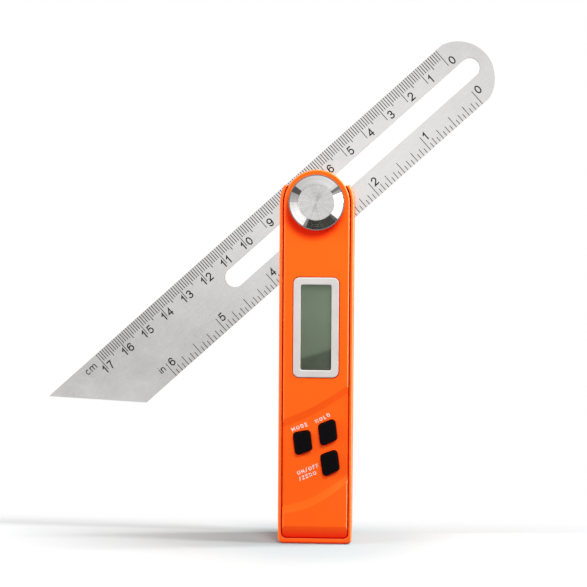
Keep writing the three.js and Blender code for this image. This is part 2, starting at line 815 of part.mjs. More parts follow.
function snapDome(key) {
  const foot = boardFront - fit;
  const profile = [];
  for (let step = 0; step <= cornerSteps; step += 1) {
    const share = step / cornerSteps;
    profile.push([domeRadius * share, domeTop + domeRise * share * share]);
  }
  const inner = profile.slice(1, -1).reverse();
  const under = inner.map(([radius, depth]) => [radius - domeSheet, depth + domeSheet]);
  const shell = [...profile, [domeRadius - domeSheet, foot], ...under, [0, domeTop + domeSheet]];
  const middle = keyMiddle(key);
  return turned(shell, smallCircle).translate(middle.x, 0, middle.y);
}

// Angle encoder and blade carrier, drawn with the blade level and turned with it

function bladeCarrier() {
  const keyBack = bladeBack - keyBlockInset;
  const keyHalfWidth = slotHalfWidth - fit;
  const keyShape = roundedBox(0, 0, keyBlockHalfLength, keyHalfWidth, keyHalfWidth - weld);
  const flange = rod(flangeRadius, flangeFront, flangeBack, 0, 0, fullCircle);
  const hub = rod(hubRadius, boardBack, flangeBack);
  const keyBlock = slab(keyShape, flangeBack - bite, keyBack);
  return joined(flange, hub, keyBlock).subtract(rod(boltHole, boardBack - overrun, keyBack + overrun));
}

function encoderRotor() {
  return rod(rotorRadius, rotorFront, rotorBack, 0, 0, fullCircle)
    .subtract(rod(hubRadius + fit, rotorFront - overrun, rotorBack + overrun));
}

// A spring washer: a thin ring that waves three times around
function waveWasher() {
  const middle = boardBack - fit - waveHeight / 2;
  const swing = (waveHeight - waveSheet) / 2;
  const radii = [boltHole, hubRadius];
  const positions = [];
  const index = [];
  for (let step = 0; step < fullCircle; step += 1) {
    const angle = 2 * Math.PI * step / fullCircle;
    const depth = middle + swing * Math.sin(waveCount * angle);
    for (const [radius, side] of [[radii[0], -1], [radii[1], -1], [radii[1], 1], [radii[0], 1]]) {
      positions.push(radius * Math.cos(angle), depth + side * waveSheet / 2, radius * Math.sin(angle));
    }
    for (let corner = 0; corner < 4; corner += 1) {
      const here = 4 * step + corner;
      const beside = 4 * step + (corner + 1) % 4;
      const ahead = 4 * ((step + 1) % fullCircle) + corner;
      const across = 4 * ((step + 1) % fullCircle) + (corner + 1) % 4;
      index.push(here, beside, ahead, beside, across, ahead);
    }
  }
  const geometry = new THREE.BufferGeometry();
  geometry.setAttribute('position', new THREE.Float32BufferAttribute(positions, 3));
  geometry.setIndex(index);
  return solidOf(geometry);
}

// Blade: a slotted strip with a round end and a slanting tip

function blade() {
  const endRadius = bladeHalfWidth + endFlatness;
  const endStart = Math.asin(bladeHalfWidth / endRadius);
  const slant = 2 * bladeHalfWidth / Math.tan(THREE.MathUtils.degToRad(tipAngle));
  const shape = outline(
    [new THREE.Vector2(-tipReach, bladeHalfWidth), new THREE.Vector2(slant - tipReach, -bladeHalfWidth)],
    circlePoints(endReach - endRadius, 0, endRadius, -endStart, endStart, fullCircle / 2),
  );
  const slotRoundEnd = endReach - endWall;
  const slotMiddle = (slotRoundEnd - slotTipEnd) / 2;
  const slotHalf = (slotRoundEnd + slotTipEnd) / 2;
  const slot = roundedBox(slotMiddle, 0, slotHalf, slotHalfWidth, slotHalfWidth - weld, 2 * cornerSteps);
  return slab(shape, bladeFront, bladeBack).subtract(slab(slot, bladeFront - overrun, bladeBack + overrun));
}

// Clamp: the bolt runs from the back of the handle into the blind knob

const thrustWasherBack = panelFace - fit;
const thrustWasherFront = thrustWasherBack - thrustWasherThickness;
const knobBack = thrustWasherFront - fit;
const knobFace = knobBack - knobHeight;
const knobBoreEnd = knobBack - knobBoreDepth;
const rearWasherFront = legFace - rearWasherProud;
const rearWasherBack = rearWasherFront + rearWasherThickness;
const boltSeat = rearWasherBack + fit + boltWeb;
const boltHeadFront = boltSeat + fit;
const boltHeadCorner = boltHeadHalfFlats / Math.cos(Math.PI / 6);

function hexRod(radius, front, back) {
  return slab(disc(radius, 0, 0, 6), front, back);
}

function pivotBolt() {
  const head = hexRod(boltHeadCorner, boltHeadFront, backFace - boltHeadSink);
  return head.add(rod(boltRadius, knobBoreEnd + fit, boltHeadFront + bite));
}

// The knob: a knurled rim, a conical flank and a dished, turned face with a thin lip
function clampKnob() {
  const knurl = [];
  for (let tooth = 0; tooth < knurlCount; tooth += 1) {
    const angle = 2 * Math.PI * tooth / knurlCount;
    const valley = angle + Math.PI / knurlCount;
    const root = knobRadius - knurlDepth;
    knurl.push(new THREE.Vector2(knobRadius * Math.cos(angle), knobRadius * Math.sin(angle)));
    knurl.push(new THREE.Vector2(root * Math.cos(valley), root * Math.sin(valley)));
  }
  const rimFront = knobBack - knobRimHeight;
  const rootRadius = knobRadius - 2 * knurlDepth;
  const flank = turned([
    [0, knobFace + knobDish],
    [knobFaceRadius - knobLip, knobFace + knobLip],
    [knobFaceRadius - knobLip, knobFace],
    [knobFaceRadius, knobFace],
    [rootRadius, rimFront],
    [rootRadius, rimFront + bite],
    [0, rimFront + bite],
  ]);
  return cutBy(
    slab(new THREE.Shape(knurl), rimFront, knobBack).add(flank),
    rod(boltHole, knobBoreEnd, knobBack + overrun),
  );
}

function flatWasher(radius, front, back) {
  return rod(radius, front, back, 0, 0, fullCircle).subtract(rod(boltHole, front - overrun, back + overrun));
}

// Rear leg: the back half of the handle, with the seats of the bolt, the battery and its door

const doorMiddle = doorFoot + doorHeight / 2;
const doorScrewPlace = { across: 0, height: doorFoot + doorHeight - doorScrewDrop };
const doorFront = backFace - doorThickness;
const doorGripFloor = backFace - doorGripDepth;

// The moulded leg is hollow between its ribs; the hollows open towards the kerf
function legHollows() {
  const foot = doorFoot + doorHeight + fit + coreWall;
  const head = pivotHeight - rearWasherRadius - fit - coreWall;
  const right = handleHalfWidth - coreWall;
  const pitch = (head - foot + coreRib) / coreRows;
  const hollows = [];
  for (let row = 0; row < coreRows; row += 1) {
    const middle = foot + row * pitch + (pitch - coreRib) / 2;
    for (const side of [-1, 1]) {
      const across = side * (right + coreRib / 2) / 2;
      const shape = roundedBox(across, middle, (right - coreRib / 2) / 2, (pitch - coreRib) / 2, coreCorner);
      hollows.push(slab(shape, legFace - overrun, backFace - coreWall));
    }
  }
  return hollows;
}

function rearLeg() {
  const seat = doorFront - fit;
  const chamberHalf = contactSide + contactWidth + 2 * fit;
  const chamberFoot = contactHeight - contactSheet / 2 - fit;
  const headCorner = (boltHeadHalfFlats + fit) / Math.cos(Math.PI / 6);
  const doorShape = roundedBox(0, doorMiddle, doorHalfWidth + fit, doorHeight / 2 + fit, doorCorner + fit);
  const screwHoles = legScrewPlaces.flatMap(({ across, height }) => [
    rod(legHole, legFace - overrun, backFace + overrun, across, height),
    rod(legHeadRadius + fit, legHeadFront - fit, backFace + overrun, across, height),
  ]);
  return cutBy(
    slab(handleOutline(true), legFace, backFace, 0, backEdge),
    rod(boltHole, legFace - overrun, backFace + overrun, 0, pivotHeight),
    rod(rearWasherRadius + fit, legFace - overrun, rearWasherBack + fit, 0, pivotHeight, fullCircle),
    hexRod(headCorner, boltSeat, backFace + overrun).translate(0, 0, pivotHeight),
    slab(doorShape, seat, backFace + overrun),
    rod(cellRadius + fit, legFace + legFloor, backFace, 0, cellHeight, fullCircle),
    block(-chamberHalf, chamberHalf, legFace + legFloor, backFace, chamberFoot, cellHeight),
    rod(smallHole, doorFront - doorScrewLength, backFace, 0, doorScrewPlace.height),
    contactChannel(),
    ...screwHoles,
    ...legHollows(),
  );
}

function batteryDoor() {
  const plate = slab(roundedBox(0, doorMiddle, doorHalfWidth, doorHeight / 2, doorCorner), doorFront, backFace);
  const sizes = [smallShankRadius, smallHeadRadius, smallHeadDepth];
  const hole = countersunk(doorScrewPlace, ...sizes, doorFront, backFace, fit);
  const grips = [];
  for (let grip = 0; grip < doorGripCount; grip += 1) {
    const foot = doorGripHeight + grip * doorGripPitch - doorGripPitch / 4;
    const head = foot + doorGripPitch / 2;
    grips.push(block(-doorGripHalfWidth, doorGripHalfWidth, doorGripFloor, backFace + overrun, foot, head));
  }
  return cutBy(plate, hole, ...grips);
}

// Battery and contacts

function batteryCell() {
  const back = cellFront + cellThickness;
  const capRadius = cellRadius - cellCapInset;
  const profile = [
    [0, cellFront],
    [capRadius, cellFront],
    [capRadius, cellFront + cellCapHeight],
    [cellRadius, cellFront + cellCapHeight],
    [cellRadius, back],
    [0, back],
  ];
  return turned(profile).translate(0, 0, cellHeight);
}

const contactEnd = boardBack + fit + contactSheet / 2;

// The leaf under the cell, bent forward at its lower end through the channel to the board
function negativeContact() {
  const leafDepth = contactFront + contactSheet / 2;
  const places = [[contactEnd, contactHeight], [leafDepth, contactHeight], [leafDepth, contactLeafTop]];
  return bentStrip(places, contactSheet, -contactSide - contactWidth, -contactSide);
}

// The clip that presses on the rim of the cell
function positiveContact() {
  const back = cellFront + cellThickness - contactSheet;
  const bend = cellFront - contactSheet / 2;
  const near = Math.sqrt(cellRadius ** 2 - contactSide ** 2);
  const clipHeight = cellHeight - near - fit - contactSheet / 2;
  const places = [[contactEnd, contactHeight], [bend, contactHeight], [bend, clipHeight], [back, clipHeight]];
  return bentStrip(places, contactSheet, contactSide, contactSide + contactWidth);
}

// Screws

function smallScrew(place, tip, back) {
  const screw = countersunk(place, smallShankRadius, smallHeadRadius, smallHeadDepth, tip, back, 0);
  return screw.subtract(crossRecess(place, smallHeadRadius, back - recessDepth, back + overrun));
}

function boardScrew(place) {
  const seat = boardFront - fit;
  const face = seat - boardScrewHeadHeight;
  const { across, height } = place;
  return joined(
    rod(smallHeadRadius, face, seat, across, height),
    rod(smallShankRadius, seat - bite, seat + boardScrewLength, across, height),
  ).subtract(crossRecess(place, smallHeadRadius, face - overrun, face + recessDepth));
}

function legScrew(place) {
  const { across, height } = place;
  return joined(
    rod(legHeadRadius, legHeadFront, legHeadBack, across, height),
    rod(legShankRadius, legScrewFront, legHeadFront + bite, across, height),
  ).subtract(crossRecess(place, legHeadRadius, legHeadBack - recessDepth, legHeadBack + overrun));
}

// Assembly

place(model, 'handle_body', handleBody(), orangeShell());
place(model, 'front_panel', frontPanel(), orangeShell());
place(model, 'rear_leg', rearLeg(), orangeShell());
place(model, 'display_bezel', displayBezel(), finish(0xd6cfc6, 0.45, 0));
place(model, 'display_lens', displayLens(), finish(0x9aa58f, 0.08, 0));
place(model, 'lcd_cell', lcdCell(), finish(0x93a189, 0.3, 0));
place(model, 'zebra_strip_left', zebraStrip(-1), finish(0x4a4d52, 0.7, 0));
place(model, 'zebra_strip_right', zebraStrip(1), finish(0x4a4d52, 0.7, 0));
place(model, 'circuit_board', circuitBoard(), finish(0x1f6b3a, 0.5, 0));
place(model, 'controller_chip', controllerChip(), finish(0x1c1c1e, 0.5, 0));
place(model, 'timing_crystal', timingCrystal(), zincSteel());
place(model, 'keypad_membrane', keypadMembrane(), blackRubber());
for (const key of keys) {
  place(model, key.name, rubberKey(key), blackRubber());
  place(model, key.name.replace('key', 'dome'), snapDome(key), zincSteel());
}
place(model, 'battery_cell', batteryCell(), turnedSteel());
place(model, 'battery_contact_negative', negativeContact(), zincSteel());
place(model, 'battery_contact_positive', positiveContact(), zincSteel());
place(model, 'battery_door', batteryDoor(), orangeShell());
place(model, 'door_screw', smallScrew(doorScrewPlace, backFace - doorScrewLength, backFace), zincSteel());
place(pivot, 'pivot_bolt', pivotBolt(), zincSteel());
place(pivot, 'rear_washer', flatWasher(rearWasherRadius, rearWasherFront, rearWasherBack), zincSteel());
place(pivot, 'wave_washer', waveWasher(), zincSteel());
place(pivot, 'thrust_washer', flatWasher(thrustWasherRadius, thrustWasherFront, thrustWasherBack), zincSteel());
place(pivot, 'clamp_knob', clampKnob(), turnedSteel());
place(swung, 'blade_carrier', bladeCarrier(), zincSteel());
place(swung, 'encoder_rotor', encoderRotor(), finish(0x1f6b3a, 0.5, 0));
place(swung, 'blade', blade(), brushedSteel());
panelScrewPlaces.forEach((screw, index) => {
  place(model, `panel_screw_${index + 1}`, smallScrew(screw, panelScrewTip, septumBack), zincSteel());
});
boardScrewPlaces.forEach((screw, index) => {
  place(model, `board_screw_${index + 1}`, boardScrew(screw), zincSteel());
});
legScrewPlaces.forEach((screw, index) => {
  place(model, `leg_screw_${index + 1}`, legScrew(screw), zincSteel());
});

export default model;
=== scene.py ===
# %% [markdown]
# # A digital sliding T-bevel
# A slotted steel blade swings and slides in the forked head of an orange plastic handle, and a bright
# knob clamps it. The handle holds a small display, three rubber keys, a circuit board and a coin cell.
#
# The packed model already has every piece in its place, so this script adds what CAD leaves out: finishes,
# the printed scales and legends, light, a floor and a camera. All lengths here are in metres, and `MM`
# turns a size in millimetres into one.

# %% Load the packed model
import json
import math

import bpy
from mathutils import Matrix, Vector


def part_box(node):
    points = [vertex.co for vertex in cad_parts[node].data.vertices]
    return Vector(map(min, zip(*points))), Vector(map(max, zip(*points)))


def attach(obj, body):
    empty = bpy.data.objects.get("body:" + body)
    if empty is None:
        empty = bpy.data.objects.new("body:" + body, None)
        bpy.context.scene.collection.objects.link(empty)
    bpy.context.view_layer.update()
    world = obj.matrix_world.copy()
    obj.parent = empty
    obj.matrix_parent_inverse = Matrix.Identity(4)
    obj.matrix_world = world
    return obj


MM = 0.001
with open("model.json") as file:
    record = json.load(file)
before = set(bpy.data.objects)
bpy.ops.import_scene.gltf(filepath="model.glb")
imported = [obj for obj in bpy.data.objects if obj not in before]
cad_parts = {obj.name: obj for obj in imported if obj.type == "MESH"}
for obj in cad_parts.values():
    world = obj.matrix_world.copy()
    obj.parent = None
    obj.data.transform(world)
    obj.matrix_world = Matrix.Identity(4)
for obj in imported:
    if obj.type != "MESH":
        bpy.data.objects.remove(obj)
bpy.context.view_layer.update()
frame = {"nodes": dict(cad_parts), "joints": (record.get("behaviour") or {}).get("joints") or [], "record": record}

# %% [markdown]
# ## The camera
# The photograph was taken from straight in front, with a long lens. A few points that are easy to find in
# it, such as the ends of the scales and the corners of the handle, fix where the camera stood: a little
# more than half a metre away, a hand's breadth above the table. A long lens keeps the handle's sides almost
# parallel, as they are in the picture.

# %% Stand the camera in front of the handle
PHOTO_WIDTH = 587  # pixels, as is the focal length
FOCAL_PIXELS = 1500
SENSOR_WIDTH = 36  # millimetres, Blender's own
STANDS_AT = Vector((18.8, -557.0, 118.3)) * MM
LOOKS_AT = Vector((-8.3, -11, 92.24)) * MM
HEAD_TILT = math.radians(0.37)


def look_from(place, aim, roll):
    """The matrix of a camera at place that looks at aim, with its head tilted by roll radians."""
    back = (place - aim).normalized()
    right = Vector((0, 0, 1)).cross(back).normalized()
    up = back.cross(right)
    turned_right = right * math.cos(roll) + up * math.sin(roll)
    turned_up = back.cross(turned_right)
    matrix = Matrix((turned_right, turned_up, back)).transposed().to_4x4()
    matrix.translation = place
    return matrix


camera_data = bpy.data.cameras.new("camera")
camera_data.sensor_width = SENSOR_WIDTH
camera_data.lens = FOCAL_PIXELS / PHOTO_WIDTH * SENSOR_WIDTH
camera = bpy.data.objects.new("camera", camera_data)
camera.matrix_world = look_from(STANDS_AT, LOOKS_AT, HEAD_TILT)
bpy.context.scene.collection.objects.link(camera)
bpy.context.scene.camera = camera
print("lens:", round(camera_data.lens, 1), "mm")

# %% [markdown]
# ## A small language for shaders
# A finish is a graph of nodes. Writing each link by hand hides the idea, so a `Signal` wraps one socket and
# lets plain Python sums such as `1 - mask * 0.3` add the Math nodes. Python asks the number on the left
# first and, since that knows nothing of signals, then asks the signal on the right, so each sum has a second
# form with an r in its name.

# %% Signals


class Signal:
    """A number or colour that a node gives out; sums with it add Math nodes."""

    def __init__(self, finish, socket):
        self.finish = finish
        self.socket = socket

    def __add__(self, other):
        return self.finish.maths("ADD", self, other)

    def __radd__(self, other):
        return self.finish.maths("ADD", other, self)

    def __sub__(self, other):
        return self.finish.maths("SUBTRACT", self, other)

    def __rsub__(self, other):
        return self.finish.maths("SUBTRACT", other, self)

    def __mul__(self, other):
        return self.finish.maths("MULTIPLY", self, other)

    def __rmul__(self, other):
        return self.finish.maths("MULTIPLY", other, self)

    def __truediv__(self, other):
        return self.finish.maths("DIVIDE", self, other)

    def __rtruediv__(self, other):
        return self.finish.maths("DIVIDE", other, self)


print("a signal knows", [name.strip("_") for name in vars(Signal) if name.startswith("__r")])

# %% [markdown]
# ## A finish
# A `Finish` is one material as a graph. Its method `add` makes every node: it takes the kind of node, its
# settings, and the numbers or signals that go into its sockets. The other methods are short names for the
# nodes that come up again and again, such as clouds of noise or the distance from an axis.

# %% Finishes


class Finish:
    """A material, or the world, as a graph of nodes that is built by name."""

    def __init__(self, owner):
        self.owner = owner
        owner.use_nodes = True
        self.tree = owner.node_tree
        self.tree.nodes.clear()

    def add(self, kind, settings=None, inputs=None, out=0):
        """One node: its settings come first, then what goes into its sockets, and out is what comes back."""
        node = self.tree.nodes.new("ShaderNode" + kind)
        for name, value in (settings or {}).items():
            if name == "stops":
                self.set_stops(node.color_ramp, value)
            else:
                setattr(node, name, value)
        for name, value in (inputs or {}).items():
            socket = node.inputs[name] if isinstance(name, int) else self.find(node.inputs, name)
            if isinstance(value, Signal):
                self.tree.links.new(value.socket, socket)
            else:
                socket.default_value = value
        if not node.outputs:
            return None
        return Signal(self, node.outputs[out] if isinstance(out, int) else self.find(node.outputs, out))

    @staticmethod
    def find(sockets, name):
        """Some nodes have several sockets of one name, and only the enabled one counts."""
        return next(s for s in sockets if s.name == name and s.enabled)

    @staticmethod
    def set_stops(ramp, stops):
        """Stops are pairs of a place from 0 to 1 and a colour."""
        while len(ramp.elements) < len(stops):
            ramp.elements.new(1)
        for element, (place, colour) in zip(ramp.elements, stops):
            element.position = place
            element.color = colour

    def maths(self, operation, *values):
        """A Math node on one, two or three numbers, each a signal or a plain one."""
        return self.add("Math", {"operation": operation}, dict(enumerate(values)))

    def mix(self, factor, a, b):
        """From colour a to colour b as factor goes from 0 to 1."""
        inputs = {"Factor": factor, "A": a, "B": b}
        return self.add("Mix", {"data_type": "RGBA"}, inputs, out="Result")

    def place(self):
        """The point on the piece, in metres; it stays with the piece when a joint moves it."""
        return self.add("TexCoord", out="Object")

    def along(self, direction):
        """How far the point lies in one direction."""
        inputs = {0: self.place(), 1: direction}
        return self.add("VectorMath", {"operation": "DOT_PRODUCT"}, inputs, out="Value")

    def vector(self, operation, *values):
        """A Vector Math node that gives a vector."""
        return self.add("VectorMath", {"operation": operation}, dict(enumerate(values)), out="Vector")

    def length(self, vector):
        return self.add("VectorMath", {"operation": "LENGTH"}, {0: vector}, out="Value")

    def off_axis(self, centre):
        """The way to the point from the line that runs from front to back through centre."""
        return self.vector("MULTIPLY", self.vector("SUBTRACT", self.place(), centre), (1, 0, 1))

    def noise(self, size, detail=2, vector=None, roughness=0.5):
        """Clouds whose lumps are about size metres across."""
        inputs = {"Scale": 1 / size, "Detail": detail, "Roughness": roughness}
        inputs["Vector"] = vector if vector is not None else self.place()
        return self.add("TexNoise", None, inputs, out="Fac")

    def remap(self, value, low, high, new_low=0.0, new_high=1.0):
        """Turns low to high into new_low to new_high, and holds still beyond them."""
        inputs = {"Value": value, "From Min": low, "From Max": high, "To Min": new_low, "To Max": new_high}
        return self.add("MapRange", {"clamp": True}, inputs)

    def soft_edges(self, radius):
        """Normals that run round every sharp edge, as a moulded or tumbled edge does."""
        return self.add("Bevel", {"samples": 4}, {"Radius": radius}, out="Normal")

    def bump(self, height, depth, normal=None):
        """Normals of a relief that is depth metres high where height is one."""
        inputs = {"Height": height, "Distance": depth, "Strength": 1.0}
        if normal is not None:
            inputs["Normal"] = normal
        return self.add("Bump", None, inputs, out="Normal")

    def seen_by(self, *kinds):
        """One where the ray is of one of these kinds, and zero elsewhere."""
        flags = [self.add("LightPath", out=kind) for kind in kinds]
        found = flags[0]
        for flag in flags[1:]:
            found = self.maths("MAXIMUM", found, flag)
        return found

    def surface(self, **inputs):
        """Ends the graph in one principled surface; underscores in the names stand for spaces."""
        named = {name.replace("_", " "): value for name, value in inputs.items()}
        shader = self.add("BsdfPrincipled", None, named)
        self.add("OutputMaterial", None, {"Surface": shader})
        return self.owner


def new_finish(name):
    return Finish(bpy.data.materials.new(name))


print("a finish knows", [name for name in vars(Finish) if not name.startswith("_")])

# %% [markdown]
# ## Colours
# A picture editor counts a colour from 0 to 255 in steps that look even to the eye. Cycles adds up light, so
# it wants the amount of light itself. One helper turns the first into the second, and every colour below is
# written as a picture editor shows it.

# %% Colours in linear light


def colour(red, green, blue):
    def linear(value):
        share = value / 255
        return share / 12.92 if share <= 0.04045 else ((share + 0.055) / 1.055) ** 2.4
    return (linear(red), linear(green), linear(blue), 1.0)


def scaled(base, share):
    """The same colour with more or less light."""
    return (base[0] * share, base[1] * share, base[2] * share, 1.0)


def grey(level):
    return (level, level, level, 1.0)


print("orange in linear light:", [round(c, 3) for c in colour(255, 104, 24)[:3]])

# %% [markdown]
# ## Moulded orange plastic
# The handle, its panel, the rear leg and the battery door are satin ABS. The mould leaves a very fine
# texture, so highlights are soft and never mirror-like, and the colour is almost even: a faint drift from
# the flow of the plastic shows. The rounded front edges get a painted highlight, strongest where they face
# right. Two noises are enough: a wide one for the drift and a fine one for the mould texture.
#
# Orange plastic lets light in, and red light wanders furthest through it. That is why its shadows and its
# grooves are a deep red and never brown. Real scattering would cost a lot of time, so painted light and
# shade stand in for it. The ambient occlusion node finds the grooves and paints deep red shade into them,
# and a faint red glow, which lights nothing else since only camera rays meet it, fills the shadows with
# painted light. Two more patches of painted shade go by place: one on the toe of the panel, which turns
# away from the lamps, and a painted shadow on the panel right under the knob, which keeps the light off it.

# %% Orange shell
ORANGE = colour(255, 110, 24)
GROOVE_SHADE_RED = colour(186, 14, 0)
SHADE_RED = colour(255, 26, 0)
TOE_SHADE_RED = colour(218, 28, 0)
EDGE_HIGHLIGHT = colour(255, 186, 124)
RED_GLOW = 0.3
TOE_TOP = 6.7 * MM  # the toe slopes from here down to the rim at its foot
TOE_FOOT = 2.4 * MM
PANEL_FACE = -9 * MM  # all that lies in front of this belongs to the panel's face or the rim
PANEL_HALF = 12 * MM  # half the width between the rims
EDGE_FACE = -9.8 * MM  # the rounded front edges lie in front of this
SHADE_CENTRE = Vector((-1, 0, 123.4)) * MM  # of the shade round the knob
SHADE_REACH = (9.6 * MM, 12.4 * MM)  # it fades between these distances from there
SHADE_HEIGHT = (119 * MM, 126 * MM)  # and between these heights


def toe_tint(finish):
    """Painted shade, strong at the foot of the panel, fading upwards, and nothing on the rim round it."""
    height = finish.along((0, 0, 1))
    across = finish.maths("ABSOLUTE", finish.along((1, 0, 0)))
    inside = finish.remap(across, PANEL_HALF - 0.1 * MM, PANEL_HALF, 1, 0)
    above_rim = finish.remap(height, TOE_FOOT - 0.2 * MM, TOE_FOOT)
    return finish.remap(height, 0.45 * TOE_TOP, TOE_TOP, 0.85, 0) * above_rim * inside


def knob_tint(finish):
    """Painted shadow, strong close round the lower half of the knob, fading outwards and towards the head."""
    aside = finish.length(finish.off_axis(SHADE_CENTRE))
    below = finish.remap(finish.along((0, 0, 1)), *SHADE_HEIGHT, 1, 0)
    return finish.remap(aside, *SHADE_REACH, 0.8, 0) * below


def pale_edges(finish):
    """How strong the painted highlight on a rounded front edge is: most where it faces right, less where it faces
    up or left.
    """
    facing = finish.add("NewGeometry", out="Normal")
    rightward = finish.add("SeparateXYZ", None, {0: facing}, out="X")
    upward = finish.add("SeparateXYZ", None, {0: facing}, out="Z")
    pale = 0.65 * finish.remap(rightward, 0.25, 0.6) + 0.25 * finish.remap(rightward, -0.15, -0.6)
    pale = pale + 0.35 * finish.remap(upward, 0.3, 0.8)
    return pale * finish.remap(finish.along((0, 1, 0)), EDGE_FACE, EDGE_FACE + 0.6 * MM, 1, 0)


def orange_shell():
    finish = new_finish("orange_shell")
    drift = finish.noise(18 * MM, detail=2)
    grain = finish.noise(0.25 * MM, detail=3, roughness=0.6)
    speck = finish.remap(finish.noise(0.6 * MM, detail=2), 0.62, 0.75)
    open_air = finish.add("AmbientOcclusion", {"samples": 8}, {"Distance": 1.8 * MM}, out="AO")
    base = finish.mix(finish.remap(drift, 0.3, 0.7), scaled(ORANGE, 0.96), ORANGE)
    base = finish.mix(speck * 0.1, base, scaled(ORANGE, 0.85))
    # painted shade: where the ambient occlusion node finds a groove, the colour turns deep red
    base = finish.mix(finish.remap(open_air, 0.3, 0.8), GROOVE_SHADE_RED, base)
    front = finish.remap(finish.along((0, 1, 0)), PANEL_FACE, PANEL_FACE + MM, 1, 0)
    # painted shade on the toe of the panel, which faces away from the lamps
    base = finish.mix(toe_tint(finish) * front, base, TOE_SHADE_RED)
    # painted shadow on the panel under the knob
    base = finish.mix(knob_tint(finish) * front, base, SHADE_RED)
    # painted highlight on the rounded front edges
    base = finish.mix(pale_edges(finish), base, EDGE_HIGHLIGHT)
    rough = 0.4 + 0.08 * finish.noise(3 * MM) + 0.06 * grain
    normal = finish.bump(grain, 0.01 * MM, finish.soft_edges(0.35 * MM))
    # painted light: a red glow that only the camera sees fills the shadows
    glow = finish.mix(finish.seen_by("Is Camera Ray"), grey(0), (1, 0, 0, 1))
    return finish.surface(
        Base_Color=base, Roughness=rough, Normal=normal, Specular_IOR_Level=0.22, IOR=1.5,
        Emission_Color=glow, Emission_Strength=RED_GLOW,
    )


SHELL = orange_shell()
print("made", SHELL.name)

# %% [markdown]
# ## Brushed steel for the blade
# The blade is stainless strip. A sanding belt has run along it, so fine scratches lie along its length, and
# the light between them drifts in soft clouds. Cloud noise that is stretched along the blade gives the
# scratches. The blade lies at an angle in the handle, so its own two directions come first: the packed
# joints say where it turns and along which line it slides.

# %% Directions of the blade
JOINTS = {joint["name"]: joint for joint in frame["joints"]}
PIVOT = Vector((0, 0, JOINTS["blade_swing"]["pos_m"][2]))
ALONG = -Vector(JOINTS["blade_slide"]["axis"]).normalized()  # towards the round end
ACROSS = Vector((0, -1, 0)).cross(ALONG)  # towards the centimetre edge
print("the round end points to", [round(v, 3) for v in ALONG])

# %% Blade steel


def blade_steel():
    finish = new_finish("blade_steel")
    along = finish.along(ALONG)
    across = finish.along(ACROSS)

    def brushed(length, width, detail):
        inputs = {"X": along / length, "Y": 0.0, "Z": across / width}
        vector = finish.add("CombineXYZ", None, inputs)
        return finish.noise(1.0, detail=detail, vector=vector)

    fine = brushed(1.7 * MM, 0.3 * MM, 3)
    coarse = brushed(5 * MM, 1.1 * MM, 2)
    clouds = finish.noise(9 * MM, detail=3)
    streaks = fine * 0.65 + coarse * 0.35
    steel = colour(250, 248, 246)
    shade = finish.remap(streaks * 0.6 + clouds * 0.4, 0.36, 0.64)
    base = finish.mix(shade, scaled(steel, 0.87), scaled(steel, 1.02))
    rough = 0.12 + 0.09 * fine + 0.05 * clouds
    normal = finish.bump(streaks, 0.006 * MM, finish.soft_edges(0.15 * MM))
    return finish.surface(Base_Color=base, Roughness=rough, Normal=normal, Metallic=1.0)


BLADE_STEEL = blade_steel()
print("made", BLADE_STEEL.name)

# %% [markdown]
# ## Turned steel for the knob
# The knob came off a lathe. Its cutter left rings so fine that no eye can part them, but each ring tips the
# light outwards or inwards. A noise that depends on the distance from the axis alone gives exactly those
# rings. On the real knob they also mirror the room as bright and dark rays from the middle of the face. Here
# those rays are painted reflection, from a noise that depends on the direction alone, with two broader
# painted dark fans on top, and the knurled rim is painted dark for the shade in its grooves.

# %% Knob steel
KNOB_FACE = 6.5 * MM  # radius of the dished face
# painted shade: the knurled band is darkened from this radius outwards, for the shade in its grooves
KNURL_ROOT = 9.6 * MM  # from here outwards the grooves of the knurl are dark


def knob_steel():
    finish = new_finish("knob_steel")
    flat = finish.off_axis(PIVOT)
    radius = finish.length(flat)
    turn = finish.vector("NORMALIZE", flat)
    rings = finish.add("CombineXYZ", None, {"X": radius / (0.12 * MM), "Y": 0.0, "Z": 0.0})
    cut = finish.noise(1.0, detail=3, vector=rings)
    wide = finish.add("CombineXYZ", None, {"X": radius / (0.9 * MM), "Y": 3.0, "Z": 0.0})
    band = finish.noise(1.0, detail=1, vector=wide)
    painted_rays = finish.noise(0.22, detail=4, vector=turn, roughness=0.6)

    def fan(degrees, reach):
        """A painted dark reflection near one direction from the centre, fading towards reach."""
        angle = math.radians(degrees)
        facing = {0: turn, 1: (math.cos(angle), 0, math.sin(angle))}
        near = finish.add("VectorMath", {"operation": "DOT_PRODUCT"}, facing, out="Value")
        return finish.remap(near, 0.86, 1.0) * finish.remap(radius, 0.35 * reach, reach, 1, 0)

    bright = colour(243, 242, 240)
    base = finish.mix(finish.remap(band, 0.35, 0.65), scaled(bright, 0.93), bright)
    on_face = finish.remap(radius, KNOB_FACE, KNOB_FACE + 0.4 * MM, 1, 0)
    painted_fans = fan(68, 0.75 * KNOB_FACE) + fan(255, 0.6 * KNOB_FACE)
    # painted reflection: rays and two dark fans on the face of the knob
    shade = 0.18 * finish.remap(painted_rays, 0.35, 0.65) + 0.3 * painted_fans
    base = finish.mix(shade * on_face, base, scaled(bright, 0.2))
    # painted shade on the knurled rim
    knurl_shade = finish.remap(radius, KNURL_ROOT, KNURL_ROOT + 0.15 * MM)
    base = finish.mix(knurl_shade * 0.8, base, scaled(bright, 0.1))
    rough = 0.05 + 0.1 * on_face + 0.06 * cut + 0.02 * finish.noise(4 * MM)
    normal = finish.bump(cut, 0.02 * MM, finish.soft_edges(0.12 * MM))
    return finish.surface(Base_Color=base, Roughness=rough, Normal=normal, Metallic=1.0)


KNOB_STEEL = knob_steel()
print("made", KNOB_STEEL.name)

